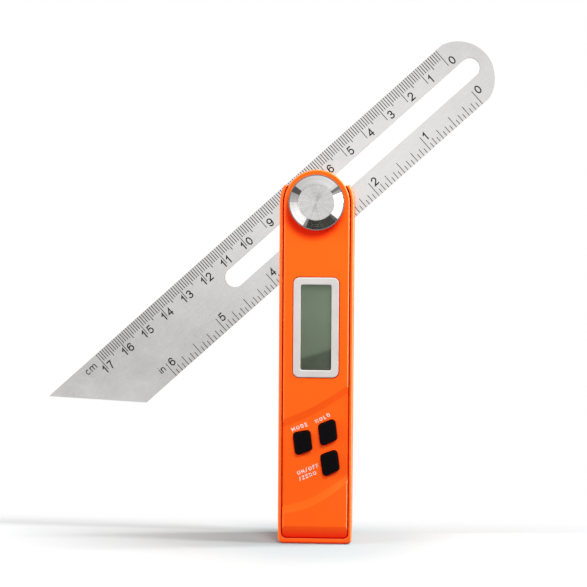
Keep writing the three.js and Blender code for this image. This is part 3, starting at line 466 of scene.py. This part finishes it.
# %% [markdown]
# ## Zinc plate, nickel plate and the encoder's parts
# Washers, bolt, screws, domes and contacts are plated: a little duller than the knob, with soft stains. The
# coin cell's can is nickel, smoother and warmer. Both share one recipe with other numbers.

# %% Plated metals


def plated(name, base_colour, lump, rough_low, rough_high):
    finish = new_finish(name)
    stain = finish.noise(lump, detail=4)
    scuff = finish.noise(0.3 * MM, detail=2)
    base = finish.mix(finish.remap(stain, 0.35, 0.65), scaled(base_colour, 0.84), base_colour)
    rough = rough_low + (rough_high - rough_low) * stain + 0.06 * scuff
    normal = finish.bump(scuff, 0.005 * MM, finish.soft_edges(0.1 * MM))
    return finish.surface(Base_Color=base, Roughness=rough, Normal=normal, Metallic=1.0)


HARDWARE = plated("hardware_steel", colour(205, 208, 212), 2.5 * MM, 0.24, 0.42)
CELL = plated("cell_steel", colour(214, 212, 206), 6 * MM, 0.18, 0.3)
print("made", HARDWARE.name, CELL.name)

# %% [markdown]
# ## Plastics and rubber
# The bezel is a pale warm grey with a fine mould texture. The keys and the pad that they stand on are matte
# black silicone, whose skin is a little uneven and catches light only at its rounded edges. The strips that
# feed the display are the same silicone in thin dark and light layers.

# %% Bezel, rubber and the layered strips


def satin_plastic(name, base_colour, rough_base, grain_size, grain_depth, edge, specular):
    finish = new_finish(name)
    grain = finish.noise(grain_size, detail=3, roughness=0.6)
    drift = finish.noise(9 * MM, detail=2)
    base = finish.mix(finish.remap(drift, 0.35, 0.65), scaled(base_colour, 0.93), base_colour)
    base = finish.mix(finish.remap(grain, 0.55, 0.8) * 0.15, base, scaled(base_colour, 0.7))
    rough = rough_base + 0.1 * grain + 0.05 * drift
    normal = finish.bump(grain, grain_depth, finish.soft_edges(edge))
    return finish.surface(Base_Color=base, Roughness=rough, Normal=normal, Specular_IOR_Level=specular)


def layered_silicone():
    finish = new_finish("layered_silicone")
    layer = finish.maths("FRACT", finish.along((0, 0, 1)) / (0.18 * MM))
    base = finish.mix(finish.remap(layer, 0.45, 0.55), colour(52, 54, 58), colour(150, 150, 148))
    rough = 0.55 + 0.1 * finish.noise(0.5 * MM)
    return finish.surface(Base_Color=base, Roughness=rough, Normal=finish.soft_edges(0.1 * MM))


BEZEL = satin_plastic("bezel_grey", colour(224, 219, 216), 0.36, 0.22 * MM, 0.006 * MM, 0.2 * MM, 0.4)
RUBBER = satin_plastic("key_rubber", colour(8, 6, 8), 0.66, 0.3 * MM, 0.014 * MM, 0.3 * MM, 0.15)
CHIP = satin_plastic("chip_black", colour(34, 34, 37), 0.48, 0.15 * MM, 0.01 * MM, 0.1 * MM, 0.4)
ZEBRA = layered_silicone()
print("made", BEZEL.name, RUBBER.name, CHIP.name, ZEBRA.name)

# %% [markdown]
# ## The display
# A switched-off liquid crystal display is a grey-green mirror under a polarising film: its colour turns a
# little darker towards the top, and a very fine grain shows. Over it lies a clear acrylic window. In Cycles
# a truly refracting window would throw a dark shadow on the display right behind it, so the window is
# mostly see-through by its alpha and only its gloss is left.

# %% Display glass and window
DISPLAY_ENDS = (66 * MM, 98 * MM)  # the lower and the upper end that show


def display_glass():
    finish = new_finish("lcd_green")
    fade = finish.remap(finish.along((0, 0, 1)), *DISPLAY_ENDS)
    grain = finish.noise(0.12 * MM, detail=2)
    clouds = finish.noise(14 * MM, detail=2)
    base = finish.mix(fade, colour(124, 142, 112), colour(112, 131, 106))
    base = finish.mix(finish.remap(clouds, 0.3, 0.7) * 0.3, base, colour(122, 138, 114))
    base = finish.mix(grain * 0.12, base, colour(90, 104, 84))
    rough = 0.015 + 0.02 * grain
    return finish.surface(
        Base_Color=base, Roughness=rough, Metallic=0.7, Normal=finish.bump(grain, 0.0003 * MM)
    )


def clear_window():
    finish = new_finish("lens_clear")
    dust = finish.noise(1.6 * MM, detail=5, roughness=0.7)
    rough = 0.03 + 0.05 * finish.remap(dust, 0.5, 0.8)
    alpha = finish.remap(dust, 0.3, 0.8, 0.02, 0.045)
    return finish.surface(
        Base_Color=colour(226, 233, 226), Roughness=rough, Alpha=alpha, IOR=1.49, Coat_Weight=0.4,
        Normal=finish.soft_edges(0.1 * MM),
    )


LCD = display_glass()
WINDOW = clear_window()
print("made", LCD.name, WINDOW.name)

# %% [markdown]
# ## The circuit board
# Solder mask is a glossy green lacquer over copper traces, which show as slightly paler, slightly raised
# lines, and plated holes show as small bright dots. Two sets of thin straight lines with noise to break
# them up read as traces at this size.

# %% Solder mask


def solder_mask():
    finish = new_finish("board_green")
    across = finish.along((1, 0, 0))
    height = finish.along((0, 0, 1))

    def lines(value, pitch):
        wave = finish.maths("SINE", value * (2 * math.pi / pitch))
        return finish.remap(wave, 0.7, 0.8)

    rows = lines(height, 1.1 * MM)
    columns = lines(across, 1.3 * MM)
    choose = finish.remap(finish.noise(5 * MM, detail=0), 0.49, 0.51)
    trace = rows * choose + columns * (1 - choose)
    base = finish.mix(trace, colour(24, 92, 46), colour(58, 132, 70))
    holes = {"Vector": finish.place(), "Scale": 1 / (2.6 * MM)}
    spots = finish.add("TexVoronoi", None, holes, out="Distance")
    dots = 1 - finish.remap(spots, 0.1, 0.13)
    base = finish.mix(dots, base, colour(214, 208, 190))
    rough = 0.26 + 0.1 * finish.noise(2 * MM)
    return finish.surface(Base_Color=base, Roughness=rough, Normal=finish.bump(trace, 0.03 * MM))


BOARD = solder_mask()
print("made", BOARD.name)

# %% [markdown]
# ## Giving the finishes to the pieces
# Each piece of the model names a slot in the record, and each slot has one finish here. A finish goes into
# the piece's own material slots, and its shape stays as the CAD made it.

# %% Paint the CAD pieces
FINISH_OF_SLOT = {
    "shell_orange": SHELL,
    "bezel_grey": BEZEL,
    "lens_clear": WINDOW,
    "lcd_green": LCD,
    "zebra_grey": ZEBRA,
    "board_green": BOARD,
    "chip_black": CHIP,
    "key_rubber": RUBBER,
    "blade_steel": BLADE_STEEL,
    "knob_steel": KNOB_STEEL,
    "hardware_steel": HARDWARE,
    "cell_steel": CELL,
}
for part in frame["record"]["subparts"]:
    piece = frame["nodes"][part["node"]]
    piece.data.materials.clear()
    piece.data.materials.append(FINISH_OF_SLOT[part["material_slot"]])

# %% [markdown]
# ## Flat crisp faces
# The model comes with smooth shading across all its edges, which would make flat plastic look inflated.
# Edges sharper than about 30 degrees are marked sharp instead, so flats stay flat and only real curves are
# shaded smoothly.

# %% Mark the sharp edges
SHARP = math.radians(30)
for piece in frame["nodes"].values():
    mesh = piece.data
    mesh.shade_smooth()
    mesh.set_sharp_from_angle(angle=SHARP)
print("sharp edges marked on", len(frame["nodes"]), "pieces")

# %% [markdown]
# ## Ink
# The scales are etched black and the legends on the panel are printed white. Ink is only some hundredths of
# a millimetre thick, so each print is a thin body just in front of the surface that carries it. It is real
# geometry, so it stays as sharp as you like however near the camera comes. A Solidify modifier gives the
# flat shapes their thickness.

# %% Two inks and a place on the blade
INK = 0.016 * MM
INK_GAP = 0.004 * MM


def ink(name, base_colour, rough_base):
    finish = new_finish(name)
    wear = finish.noise(0.5 * MM, detail=4, roughness=0.7)
    base = finish.mix(finish.remap(wear, 0.55, 0.8) * 0.3, base_colour, colour(128, 122, 118))
    normal = finish.bump(wear, 0.004 * MM)
    return finish.surface(Base_Color=base, Roughness=rough_base + 0.15 * wear, Normal=normal)


BLACK_INK = ink("etched_black", colour(30, 26, 24), 0.5)
WHITE_INK = ink("printed_white", colour(255, 248, 240), 0.45)


def blade_reach(direction):
    """How far the blade reaches from the pivot in one direction."""
    return max(direction.dot(vertex.co - PIVOT) for vertex in frame["nodes"]["blade"].data.vertices)


BLADE_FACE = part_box("blade")[0].y - INK_GAP
HALF_WIDTH = blade_reach(ACROSS)
ZERO = blade_reach(ALONG) - 13 * MM  # the zero marks of both scales lie this far along from the pivot


def on_blade(along, across):
    """A point on the front of the blade: along from the pivot, across from its middle line."""
    return PIVOT + ALONG * along + ACROSS * across + Vector((0, BLADE_FACE, 0))


def print_piece(name, points, faces, finish, body, slot):
    """Flat faces that look towards -Y become a thin body of ink that rides on body."""
    mesh = bpy.data.meshes.new(name)
    mesh.from_pydata([tuple(point) for point in points], [], faces)
    mesh.materials.append(finish)
    piece = bpy.data.objects.new(name, mesh)
    bpy.context.scene.collection.objects.link(piece)
    thickness = piece.modifiers.new("ink", "SOLIDIFY")
    thickness.thickness = INK
    thickness.offset = 1
    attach(piece, body)
    return piece


print("the scales lie at y =", round(BLADE_FACE / MM, 3), "mm and begin", round(ZERO / MM, 3), "mm along")

# %% [markdown]
# ## The ticks
# One edge of the blade counts millimetres up to 17 cm, the other counts sixteenths of an inch up to 6
# inches. A tick's length says how round its number is, which is what makes a rule quick to read. All ticks
# of both scales are one mesh of thin four-sided faces.

# %% Ticks of both scales
TICK_WIDTH = 0.28 * MM
LONG_TICK_WIDTH = 0.25 * MM  # also that of every tick of the inch scale
INCH = 25.4 * MM
LAST_CM = 17
LAST_INCH = 6
METRIC_TICKS = {10: 7.25, 5: 4.8, 1: 3.8}  # how long every tenth, fifth and single tick is, in millimetres
INCH_TICKS = {16: 6.15, 8: 4.8, 4: 4.15, 2: 3.05, 1: 2.1}


def tick_faces(marks):
    """Faces for marks given as (along, edge, length, width); edge is +1 for centimetres, -1 for inches."""
    points, faces = [], []
    for along, edge, length, width in marks:
        outer = edge * HALF_WIDTH * 0.997
        inner = outer - edge * length
        first = len(points)
        corners = [(along - width / 2, outer), (along + width / 2, outer)]
        corners += [(along + width / 2, inner), (along - width / 2, inner)]
        points += [on_blade(*corner) for corner in corners]
        order = [0, 3, 2, 1] if edge > 0 else [0, 1, 2, 3]
        faces.append([first + step for step in order])
    return points, faces


def tick_length(number, lengths):
    """The length for the largest step that divides the number."""
    return next(length for step, length in lengths.items() if number % step == 0) * MM


def metric_marks():
    for number in range(10 * LAST_CM + 1):
        width = TICK_WIDTH if number % 10 else LONG_TICK_WIDTH
        yield ZERO - number * MM, 1, tick_length(number, METRIC_TICKS), width


def inch_marks():
    for number in range(16 * LAST_INCH + 1):
        yield ZERO - number * INCH / 16, -1, tick_length(number, INCH_TICKS), LONG_TICK_WIDTH


marks = [*metric_marks(), *inch_marks()]
scale_marks = print_piece("scale_marks", *tick_faces(marks), BLACK_INK, "blade_arm", "blade_steel")
print(scale_marks.name, "has", len(marks), "ticks")

# %% [markdown]
# ## An engraver's alphabet
# Letters on tools are cut by a round cutter that follows a single line, so every stroke is equally wide and
# ends round. Such an alphabet is easy to draw: each sign is a few lines and arcs in a box that is one unit
# high, and a helper widens every line to a ribbon with round ends. That gives these plain signs without any
# font file.

# %% Lines of the signs


def bow(across, height, half_width, half_height, start, end):
    """Points along part of an ellipse, from one angle in degrees to another."""
    count = max(4, round(abs(end - start) / 20))
    angles = [math.radians(start + (end - start) * step / count) for step in range(count + 1)]
    return [(across + half_width * math.cos(a), height + half_height * math.sin(a)) for a in angles]


def ring(across, height, half_width, half_height):
    return bow(across, height, half_width, half_height, 90, 450)


SIX = [bow(0.52, 0.62, 0.5, 0.38, 28, 180) + [(0.01, 0.36)], ring(0.5, 0.31, 0.5, 0.31)]
STEM, RIGHT_STEM = [(0, 0), (0, 1)], [(1, 0), (1, 1)]
SIGNS = {  # width as a share of the height, then the lines
    "0": (0.66, [ring(0.5, 0.5, 0.5, 0.5)]),
    "1": (0.36, [[(0, 0.74), (0.45, 0.84), (1, 1), (1, 0)]]),
    "2": (0.66, [bow(0.5, 0.71, 0.48, 0.29, 170, -38) + [(0, 0), (1, 0)]]),
    "3": (0.66, [bow(0.48, 0.75, 0.42, 0.25, 155, -90) + bow(0.48, 0.26, 0.5, 0.26, 90, -155)]),
    "4": (0.66, [[(0.76, 0), (0.76, 1), (0, 0.3), (1, 0.3)]]),
    "5": (0.66, [[(0.92, 1), (0.2, 1), (0.08, 0.5)] + bow(0.48, 0.33, 0.5, 0.33, 135, -152)]),
    "6": (0.66, SIX),
    "7": (0.6, [[(0, 1), (1, 1), (0.6, 0.5), (0.38, 0)]]),
    "8": (0.66, [ring(0.5, 0.75, 0.42, 0.25), ring(0.5, 0.26, 0.5, 0.26)]),
    "9": (0.66, [[(1 - x, 1 - y) for x, y in line] for line in SIX]),
    "D": (0.76, [[(0, 0), (0, 1), (0.4, 1)] + bow(0.4, 0.5, 0.6, 0.5, 90, -90) + [(0, 0)]]),
    "E": (0.64, [[(1, 1), (0, 1), (0, 0), (1, 0)], [(0, 0.52), (0.88, 0.52)]]),
    "F": (0.6, [[(1, 1), (0, 1), (0, 0)], [(0, 0.52), (0.85, 0.52)]]),
    "H": (0.74, [STEM, RIGHT_STEM, [(0, 0.5), (1, 0.5)]]),
    "L": (0.6, [[(0, 1), (0, 0), (1, 0)]]),
    "M": (0.9, [[(0, 0), (0, 1), (0.5, 0.3), (1, 1), (1, 0)]]),
    "N": (0.76, [[(0, 0), (0, 1), (1, 0), (1, 1)]]),
    "O": (0.86, [ring(0.5, 0.5, 0.5, 0.5)]),
    "R": (0.7, [[(0, 0), (0, 1), (0.5, 1)] + bow(0.5, 0.74, 0.46, 0.26, 90, -90) + [(0, 0.48)],
                 [(0.5, 0.48), (1, 0)]]),
    "Z": (0.68, [[(0, 1), (1, 1), (0, 0), (1, 0)]]),
    "/": (0.55, [[(0, -0.08), (1, 1.08)]]),
    "c": (0.8, [bow(0.5, 0.5, 0.5, 0.5, 48, 312)]),
    "i": (0, [STEM, [(0, 1.42), (0, 1.44)]]),
    "m": (1.3, [STEM, bow(0.25, 0.65, 0.25, 0.35, 180, 0) + [(0.5, 0)],
                bow(0.75, 0.65, 0.25, 0.35, 180, 0) + [(1, 0)]]),
    "n": (0.75, [STEM, bow(0.5, 0.6, 0.5, 0.4, 180, 0) + [(1, 0)]]),
}
print("signs:", "".join(SIGNS))

# %% Ribbons and words
CAP_STEPS = 4  # straight pieces in a round cap
DIGIT = 3.25 * MM  # the height of the numbers on the blade
DIGIT_STROKE = 0.48 * MM


def ribbon(line, width):
    """One polygon round a line of 2-D points: both sides, and a round cap at each end."""
    points = [Vector(point) for point in line]
    points = [p for index, p in enumerate(points) if index == 0 or (p - points[index - 1]).length > 1e-7]
    quads, vertices = [], []
    for index, point in enumerate(points):
        before = (point - points[max(index - 1, 0)]).normalized()
        after = (points[min(index + 1, len(points) - 1)] - point).normalized()
        along = (before + after).normalized()
        side = Vector((-along.y, along.x))
        edge = after if before.length == 0 else before
        reach = width / 2 / max(0.35, side.dot(Vector((-edge.y, edge.x))))
        vertices += [point + side * reach, point - side * reach]
        if index:
            quads.append([2 * index - 2, 2 * index - 1, 2 * index + 1, 2 * index])
    for end, beside in ((0, 1), (-1, -2)):
        out = (points[end] - points[beside]).angle_signed(Vector((1, 0)))
        angles = [out - math.pi / 2 + math.pi * step / CAP_STEPS for step in range(CAP_STEPS + 1)]
        first = len(vertices)
        vertices += [points[end] + Vector((math.cos(a), math.sin(a))) * width / 2 for a in angles]
        quads.append(list(range(first, len(vertices))))
    return vertices, quads


def word_shape(word, height, stroke, gap=0.2):
    """The ribbons of a word whose capitals are height tall, and how long the word is."""
    inner = height - stroke
    cursor = stroke / 2
    points, faces = [], []
    for sign in word:
        share, lines = SIGNS[sign]
        width = max(share * height - stroke, 0)
        for line in lines:
            placed = [(cursor + x * width, stroke / 2 + y * inner) for x, y in line]
            vertices, polygons = ribbon(placed, stroke)
            faces += [[len(points) + index for index in polygon] for polygon in polygons]
            points += vertices
        cursor += width + stroke + gap * height
    return points, faces, cursor - stroke / 2 - gap * height


def facing_front(corner, right, up):
    """A matrix that lays a flat shape at corner, running to the right and facing the front."""
    matrix = Matrix((right, up, right.cross(up))).transposed().to_4x4()
    matrix.translation = corner
    return matrix


def print_words(name, words, finish, body, slot):
    """Prints words, given as (points, faces, matrix), as one piece."""
    all_points, all_faces = [], []
    for points, faces, matrix in words:
        all_faces += [[len(all_points) + index for index in face] for face in faces]
        all_points += [matrix @ point.to_3d() for point in points]
    piece = print_piece(name, all_points, all_faces, finish, body, slot)
    print(name, "has", len(words), "words and", len(all_faces), "faces")
    return piece


print("a zero is drawn with", len(word_shape("0", DIGIT, DIGIT_STROKE)[1]), "faces")

# %% [markdown]
# ## Numbers on the blade
# The numbers stand upright for someone who reads the scale with the centimetre edge up. One-digit numbers
# stand to the right of their tick; in two-digit numbers the tick runs down between the digits.

# %% Numbers of both scales
CM_BASE = HALF_WIDTH - 8.2 * MM
INCH_BASE = HALF_WIDTH - 22.65 * MM
CM_AFTER_TICK = 1.2 * MM  # gaps between a tick and its number
INCH_AFTER_TICK = 1.15 * MM
BEFORE_SPLIT = 0.62 * MM  # gaps on both sides of a tick that runs between two digits
AFTER_SPLIT = 0.72 * MM
UNIT_LETTER = 2.05 * MM
UNIT_STROKE = 0.34 * MM
UNITS = [("cm", 177.4 * MM, 4.1 * MM), ("in", 156.1 * MM, 22.2 * MM)]  # from zero, and from the upper edge


def number_word(text, left, base, ends_there=False, height=DIGIT, stroke=DIGIT_STROKE):
    points, faces, length = word_shape(text, height, stroke)
    start = left - length if ends_there else left
    return points, faces, facing_front(on_blade(start, base), ALONG, ACROSS)


numbers = []
for number in range(LAST_CM + 1):
    tick = ZERO - number * 10 * MM
    if number > 9:
        numbers.append(number_word("1", tick - BEFORE_SPLIT, CM_BASE, ends_there=True))
    start = tick + (CM_AFTER_TICK if number < 10 else AFTER_SPLIT)
    numbers.append(number_word(str(number % 10), start, CM_BASE))
for number in range(LAST_INCH + 1):
    numbers.append(number_word(str(number), ZERO - number * INCH + INCH_AFTER_TICK, INCH_BASE))
for unit, from_zero, from_edge in UNITS:
    corner = ZERO - from_zero, HALF_WIDTH - from_edge
    numbers.append(number_word(unit, *corner, height=UNIT_LETTER, stroke=UNIT_STROKE))
print_words("scale_numbers", numbers, BLACK_INK, "blade_arm", "blade_steel")

# %% [markdown]
# ## Legends beside the keys
# The words beside the keys rise to the right, like the ramps of the key field. They are printed on the
# floor of the field, which lies eight tenths of a millimetre behind the face of the packed panel.

# %% Legends on the key field
FIELD_DEPTH = 0.8 * MM
FIELD_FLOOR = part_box("front_panel")[0].y + FIELD_DEPTH - INK_GAP
LEGEND = 1.45 * MM
LEGEND_STROKE = 0.29 * MM


def legend(word, across, height, slope, length):
    """A word on the key field whose lower left corner is (across, height), spaced out to length."""
    points, faces, tight = word_shape(word, LEGEND, LEGEND_STROKE, gap=0)
    gap = (length - tight) / (len(word) - 1) / LEGEND
    points, faces, _ = word_shape(word, LEGEND, LEGEND_STROKE, gap)
    tilt = math.radians(slope)
    right = Vector((math.cos(tilt), 0, math.sin(tilt)))
    up = Vector((-math.sin(tilt), 0, math.cos(tilt)))
    corner = Vector((across, FIELD_FLOOR, height))
    return points, faces, facing_front(corner, right, up)


legends = [
    legend("MODE", -8.4 * MM, 41.35 * MM, 22, 6.1 * MM),
    legend("HOLD", 0.35 * MM, 44.55 * MM, 28, 5.9 * MM),
    legend("ON/OFF", -6.3 * MM, 25.4 * MM, 22, 8.3 * MM),
    legend("/ZERO", -5.6 * MM, 23.2 * MM, 23, 6.8 * MM),
]
print_words("key_legends", legends, WHITE_INK, "handle", "shell_orange")

# %% [markdown]
# ## Floor
# The picture has a pure white background and one soft streak of shadow that runs from the foot to the left.
# More light would bleach the object, so the white is made where it belongs. For the camera the floor is pale
# cloth with a faint glow, and away from the tool and behind it the glow takes over until nothing but white
# is left. Close to the foot the cloth still shows the shadow, and there it is a little bluish, which takes
# back the warm light that the orange sides throw on it. For light that bounces the floor is plain grey.
#
# Polished metal mirrors the floor, so two stretches of it are white for glossy rays: the one round the foot,
# which the flank of the knob mirrors, and one further ahead, which the tip of the blade mirrors. The rest is
# darker and grows a little lighter far ahead. That keeps the blade visible against the white when it is seen
# from the side or from behind.

# %% Flat pieces of the studio
FLOOR_HALF = 6  # metres
around = [(side * FLOOR_HALF, end * FLOOR_HALF) for side, end in ((-1, -1), (1, -1), (1, 1), (-1, 1))]


def flat_stage(name, corners, height, finish):
    """A flat polygon of the studio, not of the tool."""
    mesh = bpy.data.meshes.new(name)
    mesh.from_pydata([(x, y, height) for x, y in corners], [], [list(range(len(corners)))])
    mesh.materials.append(finish)
    sheet = bpy.data.objects.new(name, mesh)
    bpy.context.scene.collection.objects.link(sheet)
    return sheet


print("the floor reaches", FLOOR_HALF, "m to every side")

# %% Where polished metal finds a white floor
KNOB_STRETCH_BEGINS = (-0.1, -0.04)  # how far ahead of the tool each change lies, in metres
KNOB_STRETCH_ENDS = (0.06, 0.1)
KNOB_STRETCH_LEFT = (-0.6, -0.28)  # it weakens towards the far left
TIP_STRETCH_BEGINS = (0.26, 0.3)
TIP_STRETCH_ENDS = (0.32, 0.42)
FAR_AHEAD = (0.5, 1.4)


def mirrored_floor(finish):
    """How bright the floor is where a polished piece mirrors it."""
    ahead = finish.along((0, -1, 0))
    aside = finish.along((1, 0, 0))
    reach = ahead - 0.25 * finish.maths("ABSOLUTE", aside)  # the flank's view of the floor fans out sideways
    by_knob = finish.remap(ahead, *KNOB_STRETCH_BEGINS) * finish.remap(reach, *KNOB_STRETCH_ENDS, 1, 0)
    by_knob = by_knob * finish.remap(aside, *KNOB_STRETCH_LEFT, 0.6, 1)
    by_tip = finish.remap(ahead, *TIP_STRETCH_BEGINS) * finish.remap(ahead, *TIP_STRETCH_ENDS, 1, 0)
    return 0.35 + 0.65 * (by_knob + by_tip) + finish.remap(ahead, *FAR_AHEAD, 0, 0.38)


print("white for the knob from", KNOB_STRETCH_BEGINS[1], "to", KNOB_STRETCH_ENDS[0], "m ahead")

# %% Floor
FOOT_TINT = (0.015, 0.05)  # distances from the foot over which something changes, in metres
GLOW_RISES = (0.03, 0.3)
CLOTH_FADES = (0.16, 0.42)
BEHIND = (0.012, 0.036)
WHITEST = 2  # the glow passes one where both white stretches overlap, far to the side, but never this


def floor_finish():
    finish = new_finish("pale_floor")
    camera_ray = finish.seen_by("Is Camera Ray")
    glossy_ray = finish.seen_by("Is Glossy Ray", "Is Transmission Ray")
    cloth = finish.noise(40 * MM, detail=3)
    away = finish.length(finish.place())
    behind = finish.remap(finish.along((0, 1, 0)), *BEHIND)
    far = finish.maths("MAXIMUM", finish.remap(away, *CLOTH_FADES), behind)
    lit = finish.maths("MAXIMUM", finish.remap(away, *GLOW_RISES), behind)
    pale = finish.mix(cloth, colour(181, 182, 182), colour(186, 187, 187))
    pale = finish.mix(finish.remap(away, *FOOT_TINT), colour(168, 179, 181), pale)
    pale = finish.mix(far, pale, grey(0))
    tone = finish.mix(camera_ray, colour(92, 92, 92), pale)
    diffuse = finish.add("BsdfDiffuse", None, {"Color": tone})
    seen = camera_ray * (0.06 + 0.94 * lit) + glossy_ray * mirrored_floor(finish)
    white = finish.mix(seen / WHITEST, grey(0), grey(WHITEST))
    glow = finish.add("Emission", None, {"Color": white, "Strength": 1.0})
    both = finish.add("AddShader", None, {0: diffuse, 1: glow})
    finish.add("OutputMaterial", None, {"Surface": both})
    return finish.owner


floor = flat_stage("floor", around, 0, floor_finish())
print("made", floor.name, "with", floor.data.materials[0].name)

# %% [markdown]
# ## Dark cards
# Polished metal and glass show the room. Photographers draw the dark parts of such a reflection with black
# cards that stay out of the picture. One lies in front of the foot and gives the knob its dark lower
# sector, with ends that fade out, and one lies further away and darkens the lower end of the display. Only
# glossy rays see them.

# %% Cards for the reflections
CARD_HEIGHT = 1 * MM  # above the floor
NEAR_LEFT = -90  # the corners of the cards are in millimetres
NEAR_RIGHT = 176
NEAR_FRONT = -90
NEAR_BACK = -16
LEFT_FADE = 28
RIGHT_FADE = 38


def card_finish():
    finish = new_finish("black_card")
    fibre = finish.noise(16 * MM, detail=3)
    across = finish.along((1, 0, 0))
    near = finish.remap(finish.along((0, 1, 0)), (NEAR_FRONT - 10) * MM, (NEAR_FRONT - 5) * MM)
    left_edge = finish.remap(across, NEAR_LEFT * MM, (NEAR_LEFT + LEFT_FADE) * MM, 1, 0)
    right_edge = finish.remap(across, (NEAR_RIGHT - RIGHT_FADE) * MM, NEAR_RIGHT * MM)
    tone = finish.mix(finish.remap(fibre, 0.3, 0.7), colour(36, 38, 35), colour(56, 57, 53))
    diffuse = finish.add("BsdfDiffuse", None, {"Color": tone})
    nothing = finish.add("BsdfTransparent")
    fade = near * (left_edge + right_edge)
    faded = finish.add("MixShader", None, {0: fade, 1: diffuse, 2: nothing})
    finish.add("OutputMaterial", None, {"Surface": faded})
    return finish.owner


def dark_card(name, corners, finish):
    card = flat_stage(name, [(x * MM, y * MM) for x, y in corners], CARD_HEIGHT, finish)
    card.visible_camera = False
    card.visible_diffuse = False
    card.visible_transmission = False
    card.visible_shadow = False
    return card


CARD = card_finish()
near_card = [(NEAR_LEFT, NEAR_FRONT), (NEAR_RIGHT, NEAR_FRONT)]
near_card += [(NEAR_RIGHT, NEAR_BACK), (NEAR_LEFT, NEAR_BACK)]
far_card = [(-70, -400), (20, -400), (20, -905), (-4, -889), (-16, -843), (-37, -746), (-59, -673)]
cards = [dark_card("near_card", near_card, CARD), dark_card("far_card", far_card, CARD)]
print("cards:", [card.name for card in cards])

# %% [markdown]
# ## The room
# For the light that falls on matt pieces the room is an even soft grey. For reflections it is a studio: a
# bright glow behind the camera, which the flat blade and the face of the knob mirror, and round it the
# walls that the slanting flank of the knob mirrors. Their brightness changes with the direction round the
# line of sight, and two narrow dark stands are part of it. The wall behind the tool is an even grey, which
# shows only in views from other sides.

# %% World
WALLS = [  # turn from the right, anticlockwise, in degrees, and how bright the wall is there
    (0, 3.0), (20, 2.6), (25, 1.3), (27, 0.85), (28.5, 0.03), (33, 0.03), (34, 0.4), (35, 0.4), (36, 0.03),
    (41, 0.03), (42.5, 0.9), (60, 0.86), (90, 0.78), (120, 0.68), (143, 0.64), (145, 0.07), (155.5, 0.09),
    (158.5, 0.42), (172, 0.5), (184, 0.66), (194, 0.85), (217, 0.95), (327, 1.2), (345, 2.6), (360, 3.0),
]
BRIGHTEST = max(level for _, level in WALLS)
FRONT_GLOW = [(0, 0.42), (0.7, 0.52), (0.9, 0.66), (0.965, 0.84), (0.985, 1), (1, 1)]
BACK_WALL = 0.42
SOFT_LIGHT = 0.27


def studio_world():
    world = bpy.data.worlds.new("studio")
    bpy.context.scene.world = world
    finish = Finish(world)
    direction = finish.add("TexCoord", out="Generated")
    parts = [finish.add("SeparateXYZ", None, {0: direction}, out=axis) for axis in "XYZ"]
    turn = finish.maths("ARCTAN2", parts[2], parts[0]) / (2 * math.pi)
    share = finish.maths("FRACT", turn + 1)
    stops = [(angle / 360, grey(level / BRIGHTEST)) for angle, level in WALLS]
    walls = finish.add("ValToRGB", {"stops": stops}, {"Fac": share}, out="Color")
    walls = BRIGHTEST * walls  # the ramp is grey, so a Math node loses nothing
    walls = finish.mix(finish.remap(parts[1], 0.3, 0.6), walls, grey(BACK_WALL))
    forward = parts[1] * -1
    stops = [(place, grey(level)) for place, level in FRONT_GLOW]
    glow = finish.add("ValToRGB", {"stops": stops}, {"Fac": finish.remap(forward, 0.8, 1)}, out="Color")
    mirrored = finish.mix(finish.remap(forward, 0.55, 0.8), walls, glow)
    light = finish.mix(finish.seen_by("Is Glossy Ray"), grey(SOFT_LIGHT), mirrored)
    light = finish.mix(finish.seen_by("Is Camera Ray", "Is Transmission Ray"), light, grey(1))
    background = finish.add("Background", None, {"Color": light, "Strength": 1.0})
    finish.add("OutputWorld", None, {"Surface": background})
    return world


print("world:", studio_world().name)

# %% [markdown]
# ## Lamps
# A soft lamp stands close to the tool, above it and a little to the right, so the head is lighter than the
# foot, slopes that face down turn darker and slopes that face up turn lighter. Two narrow lamps high up on
# the right throw the streak of shadow to the left. They stand in front of the slit for the blade and behind
# it, so that no light falls through it, and a broad lamp fills the left. None of them shows in the polished
# metal, where the room alone is mirrored.

# %% Lamps


def soft_lamp(name, place, aim, width, height, power):
    data = bpy.data.lights.new(name, "AREA")
    data.shape = "RECTANGLE"
    data.size = width
    data.size_y = height
    data.energy = power
    lamp = bpy.data.objects.new(name, data)
    lamp.matrix_world = look_from(Vector(place), Vector(aim), 0)
    lamp.visible_glossy = False
    lamp.visible_camera = False
    bpy.context.scene.collection.objects.link(lamp)
    return lamp


soft_lamp("key_lamp", (0.1, -0.29, 0.31), (0, 0, 0.1), 0.16, 0.16, 1.08)
soft_lamp("right_front_lamp", (0.5, -0.07, 0.62), (0, 0, 0.03), 0.06, 0.8, 4.5)
soft_lamp("right_rear_lamp", (0.5, 0.07, 0.62), (0, 0, 0.03), 0.06, 0.8, 4.5)
soft_lamp("left_lamp", (-0.8, -0.25, 0.3), (0, 0, 0.1), 0.4, 0.5, 4.6)

# %% [markdown]
# ## View settings
# Standard view keeps colours as they are written.

# %% Finish
bpy.context.scene.view_settings.view_transform = "Standard"
